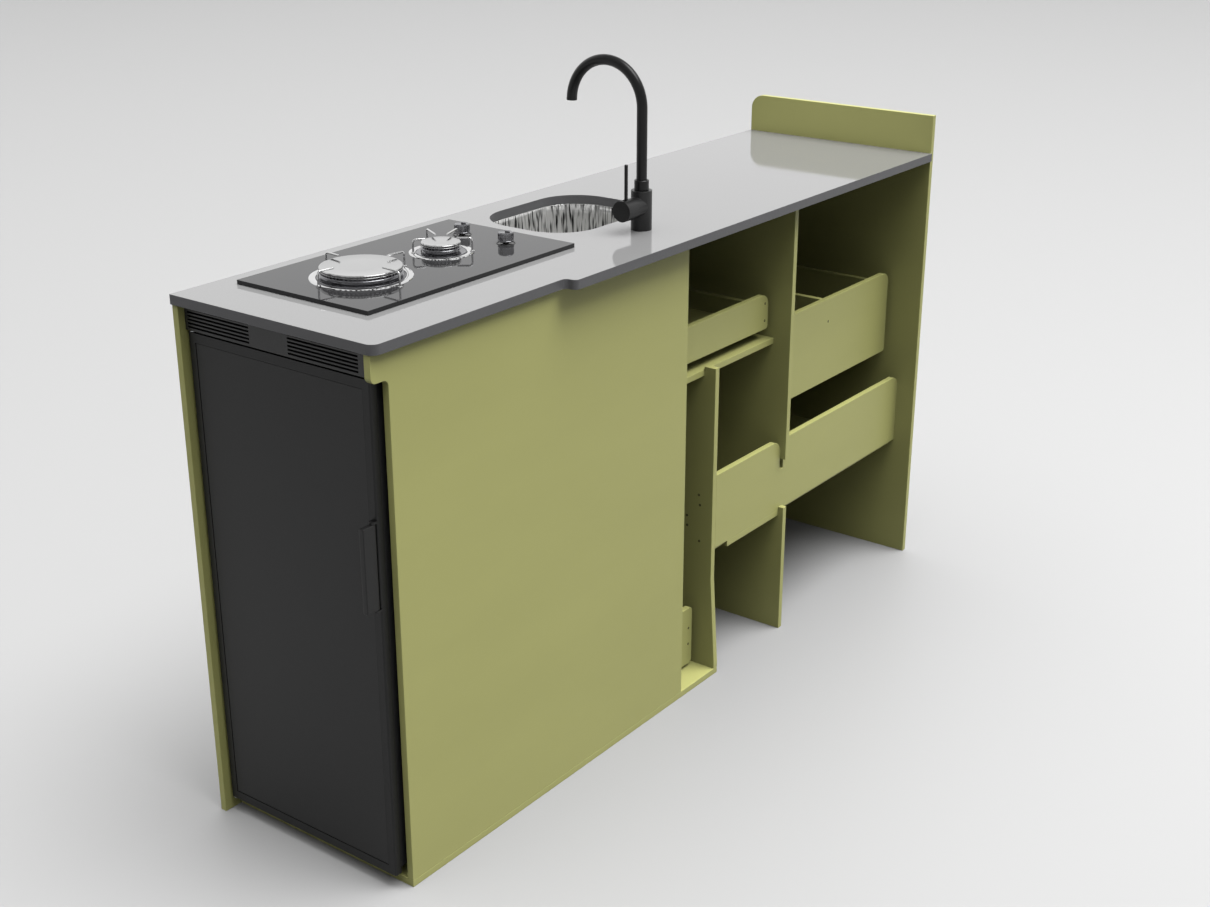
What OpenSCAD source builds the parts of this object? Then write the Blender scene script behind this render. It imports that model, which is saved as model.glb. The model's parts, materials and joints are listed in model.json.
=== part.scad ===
// Campervan kitchen pod: a slim galley unit of painted plywood panels, with a tall fridge at its left
// end, a gas hob and a sink in the worktop, and three drawers over open bins.
// The origin is on the floor, at the middle of the carcass in length and depth.
// +X runs towards the end panel, +Y towards the rear panel and +Z up.

/* [Carcass] */
// Thickness of every plywood panel
panel_t = 12; // [10:0.5:14]
// Depth from the front panel's face to the rear panel's back
pod_depth = 408; // [408:2:450]
// Height of the worktop's top face
worktop_h = 900; // [896:2:950]
// Clear length of the fridge bay, from the left end to the fridge partition
fridge_bay = 574; // [572:2:640]
// Clear length of the bay under the left half of the sink
sink_bay = 175; // [150:5:240]
// Clear width of the tall bay, between the bay partition and the mid divider
tall_bay = 351; // [320:1:420]
// Clear width of the narrow pull-out's bay
narrow_bay = 111; // [95:1:130]
// Clear width of the end bay
end_bay = 478; // [420:2:600]
// Distance that the rear panel and the front tab stand out past the front panel's left edge
side_recess = 34; // [28:1:50]
// Height of the front panel's tab
tab_h = 44; // [36:1:46]
// Radius of the tab's corners
tab_r = 10; // [4:1:14]
// Distance of the bay partition's top below the worktop's top face
bay_partition_drop = 160; // [150:2:170]

/* [End panel] */
// Height of the end panel above the worktop
upstand_h = 77; // [40:1:120]
// Distance that the end panel stands forward of the front panel
end_overhang = 28; // [12:1:31]
// Radius of the upstand's rear corner
upstand_r = 28; // [10:1:38]

/* [Shelves and bins] */
// Distance of the upper shelf's underside below the worktop's top face
shelf_drop = 296; // [288:1:310]
// Setback of the upper shelf's front edge
shelf_setback = 37; // [30:1:60]
// Rise of the intermediate upright's front tab above the shelf's underside
upright_tab = 18; // [13:1:24]
// Height at which the intermediate upright's foot starts to slant forward
foot_slant_top = 200; // [150:5:240]
// Height at which the slanted foot reaches the front face
foot_slant_end = 25; // [16:1:60]
// Height of the lower shelves' underside
bin_floor_z = 249; // [230:1:266]
// Height of the front board of the bins
board_h = 149; // [120:1:170]
// Radius of the front board's top corners
board_r = 25; // [8:1:40]
// Depth of the slot in the front board's top edge that takes the divider
board_slot = 62; // [45:1:80]
// Height of the divider's cut-out that takes the front board
divider_notch = 103; // [85:1:106]
// Overlap of the divider's lower tab on the front board
tab_lap = 7; // [3:1:20]
// Distance from the intermediate upright to the lower shelf's front tongue
tongue_offset = 43; // [10:1:80]

/* [Worktop] */
// Thickness of the worktop
worktop_t = 16; // [12:1:20]
// Overhang past the left end of the carcass
overhang_left = 3; // [0:1:10]
// Overhang in front of the front panel along the hob
overhang_hob = 10; // [4:1:20]
// Overhang in front of the carcass right of the step
overhang_right = 31; // [24:1:40]
// Distance of the step from the front panel's left edge
step_x = 384; // [300:2:500]
// Radius of the front left corner
worktop_r = 15; // [4:1:30]
// Radius of both curves of the step
step_r = 9; // [3:0.5:10]

/* [Sink] */
// Length of the sink cut-out
sink_len = 276; // [240:2:290]
// Width of the sink cut-out
sink_wid = 213; // [190:1:220]
// Corner radius of the sink cut-out
sink_r = 80; // [64:1:92]
// Depth of the bowl below the worktop
sink_depth = 125; // [100:1:127]
// Distance from the fridge partition to the sink cut-out
sink_offset = 32; // [28:1:60]
// Distance from the rear panel's back to the sink cut-out
sink_setback = 52; // [48:1:56]
// Thickness of the bowl's sheet
sheet_t = 1.2; // [0.8:0.1:2]
// Width of the bowl's flange
flange_w = 14; // [10:1:16]
// Fillet radius at the bottom of the bowl
bowl_fillet = 28; // [10:1:30]
// Outer diameter of the waste outlet pipe
waste_d = 28; // [20:1:40]
// Distance of the waste from the left end of the cut-out
waste_offset = 68; // [66:1:72]

/* [Hob] */
// Length of the hob glass
hob_len = 480; // [470:1:486]
// Width of the hob glass
hob_wid = 275; // [260:1:290]
// Distance from the glass to the fridge partition
hob_inset = 0; // [-6:1:16]
// Distance from the front panel's face to the glass
hob_setback = 93; // [70:1:100]
// Thickness of the glass with its seal
glass_t = 7; // [5:0.5:8]
// Width of worktop under each edge of the glass
glass_lap = 10; // [8:1:16]
// Depth of the hob tray below the worktop's top face
tray_depth = 46; // [40:1:50]
// Thickness of the tray's sheet
tray_t = 1.5; // [1:0.1:2]
// Distance of the large burner's centre from the left edge of the glass
large_burner_x = 127; // [110:1:140]
// Distance of the small burner's centre from the left edge of the glass
small_burner_x = 308; // [280:1:330]
// Radius of the large burner's cap
large_cap_r = 64; // [56:1:66]
// Radius of the small burner's cap
small_cap_r = 32; // [28:1:36]
// Outer radius of the large burner's trim ring
large_ring_r = 80; // [78:1:84]
// Outer radius of the small burner's trim ring
small_ring_r = 52; // [49:1:56]
// Diameter of the pan support wires
wire_d = 3.6; // [3:0.2:5]
// Height of the pan supports above the glass
support_h = 25; // [22:0.5:34]
// Distance of the knobs from the right edge of the glass
knob_inset = 67; // [50:1:80]
// Distance between the two knobs
knob_pitch = 95; // [70:1:120]
// Radius of a knob
knob_r = 13.5; // [11:0.5:16]
// Height of a knob
knob_h = 17.5; // [14:0.5:22]
// Travel of a knob when it is pushed in
knob_travel = 3; // [2:0.5:4]
// Diameter of a valve spindle
spindle_d = 6; // [5:0.5:8]
// Outer diameter of the gas inlet pipe
gas_pipe_d = 8; // [6:1:10]

/* [Tap] */
// Distance of the tap from the left end of the sink cut-out
tap_along = 121; // [80:1:140]
// Distance of the tap from the front panel's face
tap_setback = 77; // [70:1:84]
// Diameter of the tap's body
tap_body_d = 36; // [34:1:42]
// Height of the tap's body
tap_body_h = 68; // [64:1:80]
// Height of the spout's collar
collar_h = 17; // [10:1:25]
// Diameter of the spout tube
tube_d = 18; // [14:1:20]
// Height of the spout tube's straight part above the worktop
tube_straight_h = 204; // [160:2:260]
// Radius of the spout's bend, at the tube's centre
tube_bend_r = 74; // [50:1:90]
// Height of the side arm's axis above the worktop
arm_h = 41; // [38:1:44]
// Distance from the tap's axis to the outer face of the side cap
arm_len = 58; // [52:1:70]
// Length of the side cap
cap_len = 27; // [24:1:30]
// Length of the lever pin above the arm's axis
lever_len = 77; // [50:1:100]
// Diameter of the lever pin
lever_d = 6; // [4:0.5:6]
// Diameter of the threaded tail through the worktop
tail_d = 30; // [26:1:31]
// Diameter of the two inlet pipes
inlet_d = 10; // [8:1:10]

/* [Fridge] */
// Width of the fridge
fridge_w = 377; // [360:1:380]
// Distance from the top of the fridge's cabinet to the worktop
fridge_drop = 42.6; // [42:0.2:78]
// Space between the fridge's cabinet and its partition
fridge_rear_space = 85.7; // [70:0.1:116]
// Distance of the door's face behind the left end of the carcass
door_recess = 12; // [8:1:20]
// Depth of the door's frame
frame_t = 13; // [10:1:16]
// Depth of the door's insulated core
core_t = 29; // [24:1:36]
// Width of the rim around the door's panel
door_rim = 15; // [14:1:24]
// Thickness of the insulated walls
wall_t = 25; // [20:1:34]
// Thickness of the inner liner
liner_t = 1.5; // [1:0.1:2.5]
// Length of the compressor niche
niche_len = 150; // [130:2:180]
// Height of the compressor niche
niche_h = 170; // [150:2:200]
// Height of the fridge's feet
foot_h = 14; // [8:1:18]
// Height of the latch lever's lower end above the floor
latch_z = 490; // [300:5:600]
// Height of the latch lever
latch_h = 136; // [80:2:180]
// Reach of the latch lever in front of the door
latch_reach = 28; // [20:1:36]
// Number of slots in each group of the vent grille
vent_slots = 6; // [3:1:6]

/* [Drawers] */
// Gap at each side of a drawer, which holds a runner
runner_gap = 12.7; // [12:0.1:14]
// Setback of the drawer fronts
drawer_setback = 44; // [38:1:60]
// Length of the runners
runner_len = 320; // [250:5:330]
// Height of the fixed runner channel
runner_h = 35; // [30:1:36]
// Distance of the left drawer's lower edge below the worktop's top face
left_drawer_drop = 263; // [255:1:272]
// Height of the left drawer's front
left_drawer_h = 69; // [62:1:90]
// Distance of the right drawer's lower edge below the worktop's top face
right_drawer_drop = 436; // [380:1:470]
// Height of the right drawer's front
right_drawer_h = 176; // [120:1:220]
// Height of the narrow pull-out's lower edge
narrow_drawer_z = 20; // [16:1:40]
// Height of the narrow pull-out's front
narrow_drawer_h = 120; // [90:1:160]
// Share of the right drawer's inner width that lies left of its divider
divider_share = 0.41; // [0.25:0.01:0.75]

/* [Hidden] */
$fn = 64;

// Colours as the object shows them
OLIVE = "#A5A56D";
STONE = "#CBCBCB";
GRAPHITE = "#2E2E2E";
BLACK = "#1A1A1A";
TAP_BLACK = "#252525";
STEEL = "#B8BABD";
CHROME = "#D8D8D8";
BRASS = "#B5893A";
WHITE = "#E6E6E2";
GLASS = "#3A3A3C";

// Small clearances: between faces that move past each other, and round a turning pin
slip = 0.4;
running = 0.05;
// Overlap that lets two shapes of one solid fuse, or a cut run past a face
over = 1;

// Carcass, from the left end and the front face
carcass_h = worktop_h - worktop_t;
pod_len = fridge_bay + sink_bay + tall_bay + end_bay + 4 * panel_t;
left = -pod_len / 2;
front = -pod_depth / 2;
back = pod_depth / 2;
inner_front = front + panel_t;
inner_back = back - panel_t;
bay_partition_h = worktop_h - bay_partition_drop;
shelf_z = worktop_h - shelf_drop;
left_drawer_z = worktop_h - left_drawer_drop;
right_drawer_z = worktop_h - right_drawer_drop;
front_panel_x = left + side_recess;
fridge_partition_x = left + fridge_bay;
bay_partition_x = fridge_partition_x + panel_t + sink_bay;
tall_bay_x = bay_partition_x + panel_t;
upright_x = tall_bay_x + narrow_bay;
base_end_x = upright_x + panel_t;
divider_x = tall_bay_x + tall_bay;
end_bay_x = divider_x + panel_t;
end_panel_x = end_bay_x + end_bay;

// Bins
bin_z = bin_floor_z + panel_t;
bin_front = inner_front + panel_t;

// Sink
sink_x = fridge_partition_x + panel_t + sink_offset + sink_len / 2;
sink_y = back - sink_setback - sink_wid / 2;
bowl_base_z = carcass_h - sink_depth;
waste_x = sink_x - sink_len / 2 + waste_offset;
waste_flange_r = 32;
waste_bore_r = 24;
waste_body_len = 40;
waste_pipe_len = 45;

// Hob
hob_x = fridge_partition_x - hob_inset - hob_len;
hob_y = front + hob_setback + hob_wid / 2;
glass_z = worktop_h + glass_t;
hole_x = hob_x + glass_lap;
hole_len = hob_len - 2 * glass_lap;
hole_wid = hob_wid - 2 * glass_lap;
tray_gap = 1.5;
tray_len = hole_len - 2 * tray_gap;
tray_wid = hole_wid - 2 * tray_gap;
tray_x = hole_x + tray_gap;
tray_z = worktop_h - tray_depth;
tray_floor_z = tray_z + tray_t;
burners = [
    [hob_x + large_burner_x, large_cap_r, large_ring_r],
    [hob_x + small_burner_x, small_cap_r, small_ring_r]
];
ring_w = 10.8;
ring_t = 1.6;
flange_t = 1.5;
burner_head_h = 12.5;
// Each wire finger: burner number, angle and distance of its foot outside the burner's trim ring
fingers = [
    [0, 172, 0], [0, 265, 8], [0, 352, 4], [0, 84, 4],
    [1, 142, -7], [1, 307, -2], [1, 62, 14], [1, 18, 14]
];
knob_x = hob_x + hob_len - knob_inset;
knob_gap = knob_travel + 0.5;
knob_z = glass_z + knob_gap;
valve_drop = 8;
valve_top_z = worktop_h - valve_drop;
valve_size = 24;

// Tap
tap_x = sink_x - sink_len / 2 + tap_along;
tap_y = front + tap_setback;
arm_z = worktop_h + arm_h;
collar_z = worktop_h + tap_body_h + slip;
shank_d = 20;
shank_len = 18;
cap_x = tap_x - arm_len;
cap_bore_d = 24;
pin_x = cap_x + cap_len / 2;
tail_len = 50;
inlet_len = 38;

// Fridge
door_x = left + door_recess;
core_x = door_x + frame_t;
gasket_t = 4;
cabinet_x = core_x + core_t + gasket_t + 0.3;
door_gap = 3;
door_y = inner_front + door_gap;
fridge_y = door_y + 2;
cabinet_w = fridge_w - 4;
fridge_z = panel_t + foot_h;
fridge_top = carcass_h - fridge_drop;
fridge_h = fridge_top - fridge_z;
fridge_depth = fridge_partition_x - fridge_rear_space - cabinet_x;
door_z = fridge_z + slip;
door_h = fridge_h - 2 * slip;
core_inset = 5;
hinge_d = 6;
hinge_x = door_x + frame_t / 2 - 0.5;
hinge_y = door_y + fridge_w - 6;
plate_t = 1.8;
hinge_pin_len = 12;
latch_pin_d = 3;
latch_t = 9.5;
latch_x = door_x - latch_t / 2 - slip;
latch_y = door_y + latch_t / 2;
ear_h = 4;
shelf_heights = [for (share = [0.09, 0.39, 0.65]) niche_h + share * (fridge_h - niche_h)];
ledge = 5;
rack_depth = 52;
rack_heights = [120, 400];

// Runners
channel_t = 1.2;
channel_lip = 10.2;
slider_d = 8.2;
runner_setback = drawer_setback + panel_t + 2;
drawer_bottom_t = 6;
drawer_bottom_lift = 4;
side_drop = 22;
// Glue line between the boards of one box
glue = 0.1;

// Box between two corners
module block(from, to) {
    translate(from) cube(to - from);
}

// Plate across the depth, drawn as its outline in X and Z
module facing_plate(y, t) {
    translate([0, y + t, 0]) rotate([90, 0, 0]) linear_extrude(t) children();
}

// Plate across the length, drawn as its outline in Y and Z
module side_plate(x, t) {
    translate([x, 0, 0]) rotate([90, 0, 90]) linear_extrude(t) children();
}

// Rectangle between two corners
module area(from, to) {
    translate(from) square(to - from);
}

// What a rounded corner leaves out of a square one, or a fillet adds: into points to the circle's side
module corner_piece(corner, r, into) {
    translate(corner) difference() {
        translate([min(0, into[0] * r), min(0, into[1] * r)]) square(r);
        translate(into * r) circle(r);
    }
}

// Round rod along X, Y or Z from its start
module rod_x(start, len, d) {
    translate(start) rotate([0, 90, 0]) cylinder(h = len, d = d);
}
module rod_y(start, len, d) {
    translate(start) rotate([-90, 0, 0]) cylinder(h = len, d = d);
}
module rod_z(start, len, d) {
    translate(start) cylinder(h = len, d = d);
}

// Carcass

module base_board() {
    color(OLIVE) block([front_panel_x, front, 0], [base_end_x, inner_back, panel_t]);
}

module front_panel() {
    tab_z = carcass_h - tab_h;
    color(OLIVE) facing_plate(front, panel_t) {
        difference() {
            union() {
                area([front_panel_x, panel_t], [tall_bay_x, carcass_h]);
                area([left, tab_z], [front_panel_x + over, carcass_h]);
            }
            corner_piece([left, tab_z], tab_r, [1, 1]);
        }
        corner_piece([front_panel_x, tab_z], tab_r, [-1, -1]);
    }
}

module rear_panel() {
    color(OLIVE) block([left, inner_back, 0], [end_panel_x, back, carcass_h]);
}

module end_panel() {
    top = worktop_h + upstand_h;
    color(OLIVE) side_plate(end_panel_x, panel_t) difference() {
        area([front - end_overhang, 0], [back, top]);
        corner_piece([back, top], upstand_r, [-1, -1]);
    }
}

module fridge_partition() {
    color(OLIVE) block(
        [fridge_partition_x, inner_front, panel_t],
        [fridge_partition_x + panel_t, inner_back, carcass_h]
    );
}

module bay_partition() {
    color(OLIVE) block([bay_partition_x, inner_front, panel_t], [tall_bay_x, inner_back, bay_partition_h]);
}

module intermediate_upright() {
    color(OLIVE) side_plate(upright_x, panel_t) polygon([
        [front, panel_t],
        [front, foot_slant_end],
        [inner_front, foot_slant_top],
        [inner_front, shelf_z + upright_tab],
        [front + shelf_setback, shelf_z + upright_tab],
        [front + shelf_setback, shelf_z],
        [inner_back, shelf_z],
        [inner_back, panel_t]
    ]);
}

// The divider runs from floor to worktop and is halved with the front board
module mid_divider() {
    color(OLIVE) side_plate(divider_x, panel_t) difference() {
        area([front, 0], [inner_back, carcass_h]);
        area([front - over, bin_z + tab_lap], [bin_front, bin_z + tab_lap + divider_notch]);
        area([inner_front, bin_z], [bin_front, bin_z + tab_lap + over]);
    }
}

module upper_shelf() {
    color(OLIVE) block([tall_bay_x, front + shelf_setback, shelf_z], [divider_x, inner_back, shelf_z + panel_t]);
}

// The left shelf has a tongue under the front board, and the right one stops behind it
module lower_shelves() {
    color(OLIVE) {
        block([base_end_x, bin_front, bin_floor_z], [divider_x, inner_back, bin_z]);
        block([base_end_x + tongue_offset, inner_front, bin_floor_z], [divider_x, bin_front + over, bin_z]);
        block([end_bay_x, bin_front, bin_floor_z], [end_panel_x, inner_back, bin_z]);
    }
}

module front_board() {
    top = bin_z + board_h;
    color(OLIVE) facing_plate(inner_front, panel_t) difference() {
        area([base_end_x, bin_z], [end_panel_x, top]);
        area([divider_x, top - board_slot], [end_bay_x, top + over]);
        corner_piece([divider_x, top], board_r, [-1, -1]);
        corner_piece([end_panel_x, top], board_r, [-1, -1]);
    }
}

// Outline of the worktop, with its step along the front edge
module worktop_outline() {
    hob_front = front - overhang_hob;
    right_front = front - overhang_right;
    left_edge = left - overhang_left;
    step = front_panel_x + step_x;
    difference() {
        union() {
            area([left_edge, hob_front], [end_panel_x, back]);
            area([step, right_front], [end_panel_x, hob_front + over]);
        }
        corner_piece([left_edge, hob_front], worktop_r, [1, 1]);
        corner_piece([step, right_front], step_r, [1, 1]);
    }
    corner_piece([step, hob_front], step_r, [-1, -1]);
}

// Outline of the sink, centred on the cut-out, with a margin all round
module sink_outline(margin) {
    r = sink_r + margin;
    half = [sink_len / 2 - sink_r, sink_wid / 2 - sink_r];
    square([sink_len + 2 * margin, 2 * half[1]], center = true);
    square([2 * half[0], sink_wid + 2 * margin], center = true);
    for (ix = [-1, 1], iy = [-1, 1])
        translate([ix * half[0], iy * half[1]]) circle(r);
}

module worktop() {
    color(STONE) difference() {
        translate([0, 0, carcass_h]) linear_extrude(worktop_t) worktop_outline();
        translate([sink_x, sink_y, carcass_h - over]) linear_extrude(worktop_t + 2 * over) sink_outline(0);
        block(
            [hole_x, hob_y - hole_wid / 2, carcass_h - over],
            [hole_x + hole_len, hob_y + hole_wid / 2, worktop_h + over]
        );
        rod_z([tap_x, tap_y, carcass_h - over], worktop_t + 2 * over, tail_d + 2);
    }
}

// Angle bracket in the corner under the worktop: facing is 1 for the front panel and -1 for the rear
module worktop_bracket(x, y, facing) {
    leg = 36;
    bracket_w = 30;
    bracket_t = 2;
    screw_d = 4.5;
    translate([x, y, carcass_h]) mirror([0, facing < 0 ? 1 : 0, 0]) difference() {
        union() {
            block([-bracket_w / 2, 0, -leg], [bracket_w / 2, bracket_t, 0]);
            block([-bracket_w / 2, 0, -bracket_t], [bracket_w / 2, leg, 0]);
        }
        rod_y([0, -over, -leg * 0.6], bracket_t + 2 * over, screw_d);
        rod_z([0, leg * 0.6, -bracket_t - over], bracket_t + 2 * over, screw_d);
    }
}

module worktop_brackets() {
    inset = 90;
    color(STEEL) {
        for (x = [hob_x, fridge_partition_x - inset])
            worktop_bracket(x, inner_front, 1);
        for (x = [hob_x, fridge_partition_x - inset, end_bay_x + inset, end_panel_x - inset])
            worktop_bracket(x, inner_back, -1);
    }
}

// Fixed channel of a runner on a wall at x: facing is 1 when the drawer lies on the +X side
module fixed_channel(x, z, facing) {
    half = runner_h / 2;
    translate([x, front + runner_setback, z]) mirror([facing < 0 ? 1 : 0, 0, 0]) {
        block([0, 0, -half], [channel_t, runner_len, half]);
        for (s = [0, 1]) mirror([0, 0, s])
            block([0, 0, half - channel_t], [channel_lip, runner_len, half]);
    }
}

// Moving member of a runner: a shallow channel on the drawer's side that runs inside the fixed one
module moving_member(x, z, facing) {
    half = runner_h / 2 - channel_t - 0.3;
    translate([x, front + runner_setback, z]) mirror([facing < 0 ? 1 : 0, 0, 0]) {
        block([runner_gap - channel_t, 0, -half], [runner_gap, runner_len, half]);
        for (s = [0, 1]) mirror([0, 0, s])
            block([runner_gap - slider_d, 0, half - channel_t], [runner_gap, runner_len, half]);
    }
}

// Centre height of a drawer's runners, from its lower edge and its height
function runner_z(z, h) = z + (h - side_drop) / 2 + 1;

module cabinet_runners() {
    color(STEEL) {
        for (side = [[tall_bay_x, 1], [divider_x, -1]])
            fixed_channel(side[0], runner_z(left_drawer_z, left_drawer_h), side[1]);
        for (side = [[end_bay_x, 1], [end_panel_x, -1]])
            fixed_channel(side[0], runner_z(right_drawer_z, right_drawer_h), side[1]);
        for (side = [[tall_bay_x, 1], [upright_x, -1]])
            fixed_channel(side[0], runner_z(narrow_drawer_z, narrow_drawer_h), side[1]);
    }
}

// Sink

// Tub with a rounded outline and a filleted bottom edge: its top is at z = 0
module tub(margin, depth, fillet) {
    r = sink_r + margin;
    half = [sink_len / 2 - sink_r, sink_wid / 2 - sink_r];
    for (ix = [-1, 1], iy = [-1, 1])
        translate([ix * half[0], iy * half[1], 0]) rotate_extrude() tub_side(r, depth, fillet);
    for (turn = [0, 180]) rotate([0, 0, turn]) {
        translate([half[0], half[1], 0]) rotate([90, 0, 0]) linear_extrude(2 * half[1])
            tub_side(r, depth, fillet);
        translate([-half[0], half[1], 0]) rotate([90, 0, 90]) linear_extrude(2 * half[0])
            tub_side(r, depth, fillet);
    }
    translate([-half[0], -half[1], -depth]) cube([2 * half[0], 2 * half[1], depth]);
}

// Half section of the tub's rim: straight down, then a quarter circle into the bottom
module tub_side(r, depth, fillet) {
    difference() {
        translate([0, -depth]) square([r, depth]);
        corner_piece([r, -depth], fillet, [-1, 1]);
    }
}

module sink_bowl() {
    color(STEEL) translate([sink_x, sink_y, carcass_h]) difference() {
        union() {
            translate([0, 0, -sheet_t]) linear_extrude(sheet_t) sink_outline(flange_w);
            tub(sheet_t, sink_depth + sheet_t, bowl_fillet + sheet_t);
        }
        translate([0, 0, over]) tub(0, sink_depth + over, bowl_fillet);
        translate([waste_x - sink_x, 0, -sink_depth - sheet_t - over])
            cylinder(h = sheet_t + 2 * over, r = waste_bore_r + sheet_t + slip);
    }
}

// Waste: flange in the bowl, strainer plate, cup below and outlet pipe
module sink_waste() {
    rim_t = 1.2;
    nut_t = 4;
    plate_z = -8;
    plate_top = plate_z + 2.5;
    cup_z = -sheet_t - waste_body_len;
    pipe_wall = 1.5;
    hole_pitch = 8;
    hole_d = 4;
    color(STEEL) translate([waste_x, sink_y, bowl_base_z]) difference() {
        union() {
            cylinder(h = rim_t, r = waste_flange_r);
            translate([0, 0, cup_z]) cylinder(h = rim_t - cup_z, r = waste_bore_r + sheet_t);
            translate([0, 0, -sheet_t - nut_t]) cylinder(h = nut_t, r = waste_flange_r);
            translate([0, 0, cup_z - waste_pipe_len]) cylinder(h = waste_pipe_len + over, d = waste_d);
        }
        translate([0, 0, plate_top]) cylinder(h = rim_t + over - plate_top, r = waste_bore_r);
        for (ring = [1, 2], k = [0:5])
            rotate([0, 0, 60 * k + 30 * ring]) translate([hole_pitch * ring, 0, plate_z - over])
                cylinder(h = plate_top - plate_z + 2 * over, d = hole_d);
        translate([0, 0, cup_z + pipe_wall]) cylinder(h = plate_z - cup_z - pipe_wall, r = waste_bore_r);
        translate([0, 0, cup_z - waste_pipe_len - over])
            cylinder(h = waste_pipe_len + pipe_wall + 2 * over, d = waste_d - 2 * pipe_wall);
    }
}

// Clips under the worktop: four hold the hob's tray and four the sink's flange
module mounting_clips() {
    clip_w = 24;
    clip_t = 2;
    tray_edge = tray_wid / 2;
    flange_edge = [sink_len / 2 + flange_w, sink_wid / 2 + flange_w];
    color(STEEL) {
        for (x = [hole_x + hole_len / 4, hole_x + hole_len * 3 / 4], side = [0, 1])
            translate([x, hob_y, carcass_h]) mirror([0, side, 0]) {
                block([-clip_w / 2, tray_edge, -14], [clip_w / 2, tray_edge + clip_t, 0]);
                block([-clip_w / 2, tray_edge, -clip_t], [clip_w / 2, tray_edge + 18, 0]);
            }
        for (side = [0, 1]) {
            translate([sink_x, sink_y, carcass_h]) mirror([side, 0, 0])
                sink_clip(flange_edge[0], clip_w, clip_t);
            translate([sink_x, sink_y, carcass_h]) mirror([0, side, 0]) rotate([0, 0, 90])
                sink_clip(flange_edge[1], clip_w, clip_t);
        }
    }
}

// Clip whose tongue presses the sink's flange up against the worktop
module sink_clip(edge, w, t) {
    block([edge, -w / 2, -sheet_t - t], [edge + 10, w / 2, 0]);
    block([edge - 8, -w / 2, -sheet_t - t], [edge + over, w / 2, -sheet_t]);
}

// Hob

module hob_glass() {
    color(GLASS) difference() {
        block([hob_x, hob_y - hob_wid / 2, worktop_h], [hob_x + hob_len, hob_y + hob_wid / 2, glass_z]);
        for (burner = burners)
            rod_z([burner[0], hob_y, worktop_h - over], glass_t + 2 * over, 2 * burner_throat_r(burner[1]) + 2);
        for (side = [-1, 1])
            rod_z([knob_x, hob_y + side * knob_pitch / 2, worktop_h - over], glass_t + 2 * over, spindle_d + 4);
    }
}

module hob_tray() {
    half = tray_wid / 2;
    color(STEEL) difference() {
        block([tray_x, hob_y - half, tray_z], [tray_x + tray_len, hob_y + half, worktop_h]);
        block(
            [tray_x + tray_t, hob_y - half + tray_t, tray_floor_z],
            [tray_x + tray_len - tray_t, hob_y + half - tray_t, worktop_h + over]
        );
        rod_z([gas_pipe_x(), gas_pipe_y(), tray_z - over], tray_t + 2 * over, gas_pipe_d);
    }
}

// Radius of the burner body that passes through the glass
function burner_throat_r(cap_r) = cap_r * 0.6;

// Burner body: a foot on the tray, a throat through the glass, a dished flange and the flame ring
module burner_bases() {
    foot_r = 12;
    color(CHROME) for (burner = burners) {
        cap_r = burner[1];
        throat_r = burner_throat_r(cap_r);
        flange_r = burner[2] - ring_w - 1;
        translate([burner[0], hob_y, 0]) rotate_extrude() polygon([
            [0, tray_floor_z],
            [foot_r, tray_floor_z],
            [foot_r, worktop_h - 14],
            [throat_r, worktop_h - 6],
            [throat_r, glass_z],
            [flange_r, glass_z],
            [flange_r, glass_z + flange_t],
            [cap_r + 0.5, glass_z + flange_t],
            [cap_r + 0.5, glass_z + 6],
            [cap_r - 3, glass_z + 8],
            [cap_r - 3, glass_z + burner_head_h],
            [0, glass_z + burner_head_h]
        ]);
    }
}

module burner_caps() {
    cap_z = glass_z + burner_head_h;
    cap_h = 5.5;
    crown = 1;
    color(CHROME) for (burner = burners) {
        r = burner[1];
        translate([burner[0], hob_y, 0]) rotate_extrude() polygon([
            [0, cap_z],
            [r, cap_z],
            [r, cap_z + cap_h - 2],
            [r - 2, cap_z + cap_h - crown],
            [r * 0.5, cap_z + cap_h - crown * 0.25],
            [0, cap_z + cap_h]
        ]);
    }
}

// Flat chrome ring on the glass round each burner
module burner_trims() {
    color(CHROME) for (burner = burners)
        translate([burner[0], hob_y, glass_z]) difference() {
            cylinder(h = ring_t, r = burner[2]);
            translate([0, 0, -over]) cylinder(h = ring_t + 2 * over, r = burner[2] - ring_w);
        }
}

// Wire fingers: a foot pad on the glass, an upright wire and an arm over the burner
module pan_supports() {
    pad_d = wire_d + 4;
    pad_t = 1.2;
    arm_z = support_h - wire_d / 2;
    color(CHROME) for (finger = fingers) {
        burner = burners[finger[0]];
        distance = burner[2] + finger[2];
        reach = distance - burner[1] * 0.8;
        base = distance - pad_d / 2 < burner[2] ? ring_t : 0;
        translate([burner[0], hob_y, glass_z]) rotate([0, 0, finger[1]]) translate([distance, 0, 0]) {
            rod_z([0, 0, base], pad_t, pad_d);
            rod_z([0, 0, base], arm_z - base, wire_d);
            translate([0, 0, arm_z]) sphere(d = wire_d);
            rod_x([-reach, 0, arm_z], reach, wire_d);
        }
    }
}

// Ceramic igniters on the burner flanges, on the side away from the user
module igniters() {
    igniter_d = 2.2;
    color(WHITE) for (burner = burners, angle = [40, 110])
        translate([burner[0], hob_y, glass_z + flange_t]) rotate([0, 0, angle])
            translate([burner[1] + 2.2, 0, 0]) cylinder(h = 9, d = igniter_d);
}

// Place of the gas inlet pipe, behind the valves
function gas_pipe_x() = knob_x;
function gas_pipe_y() = hob_y + tray_wid / 2 - 16;

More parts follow.
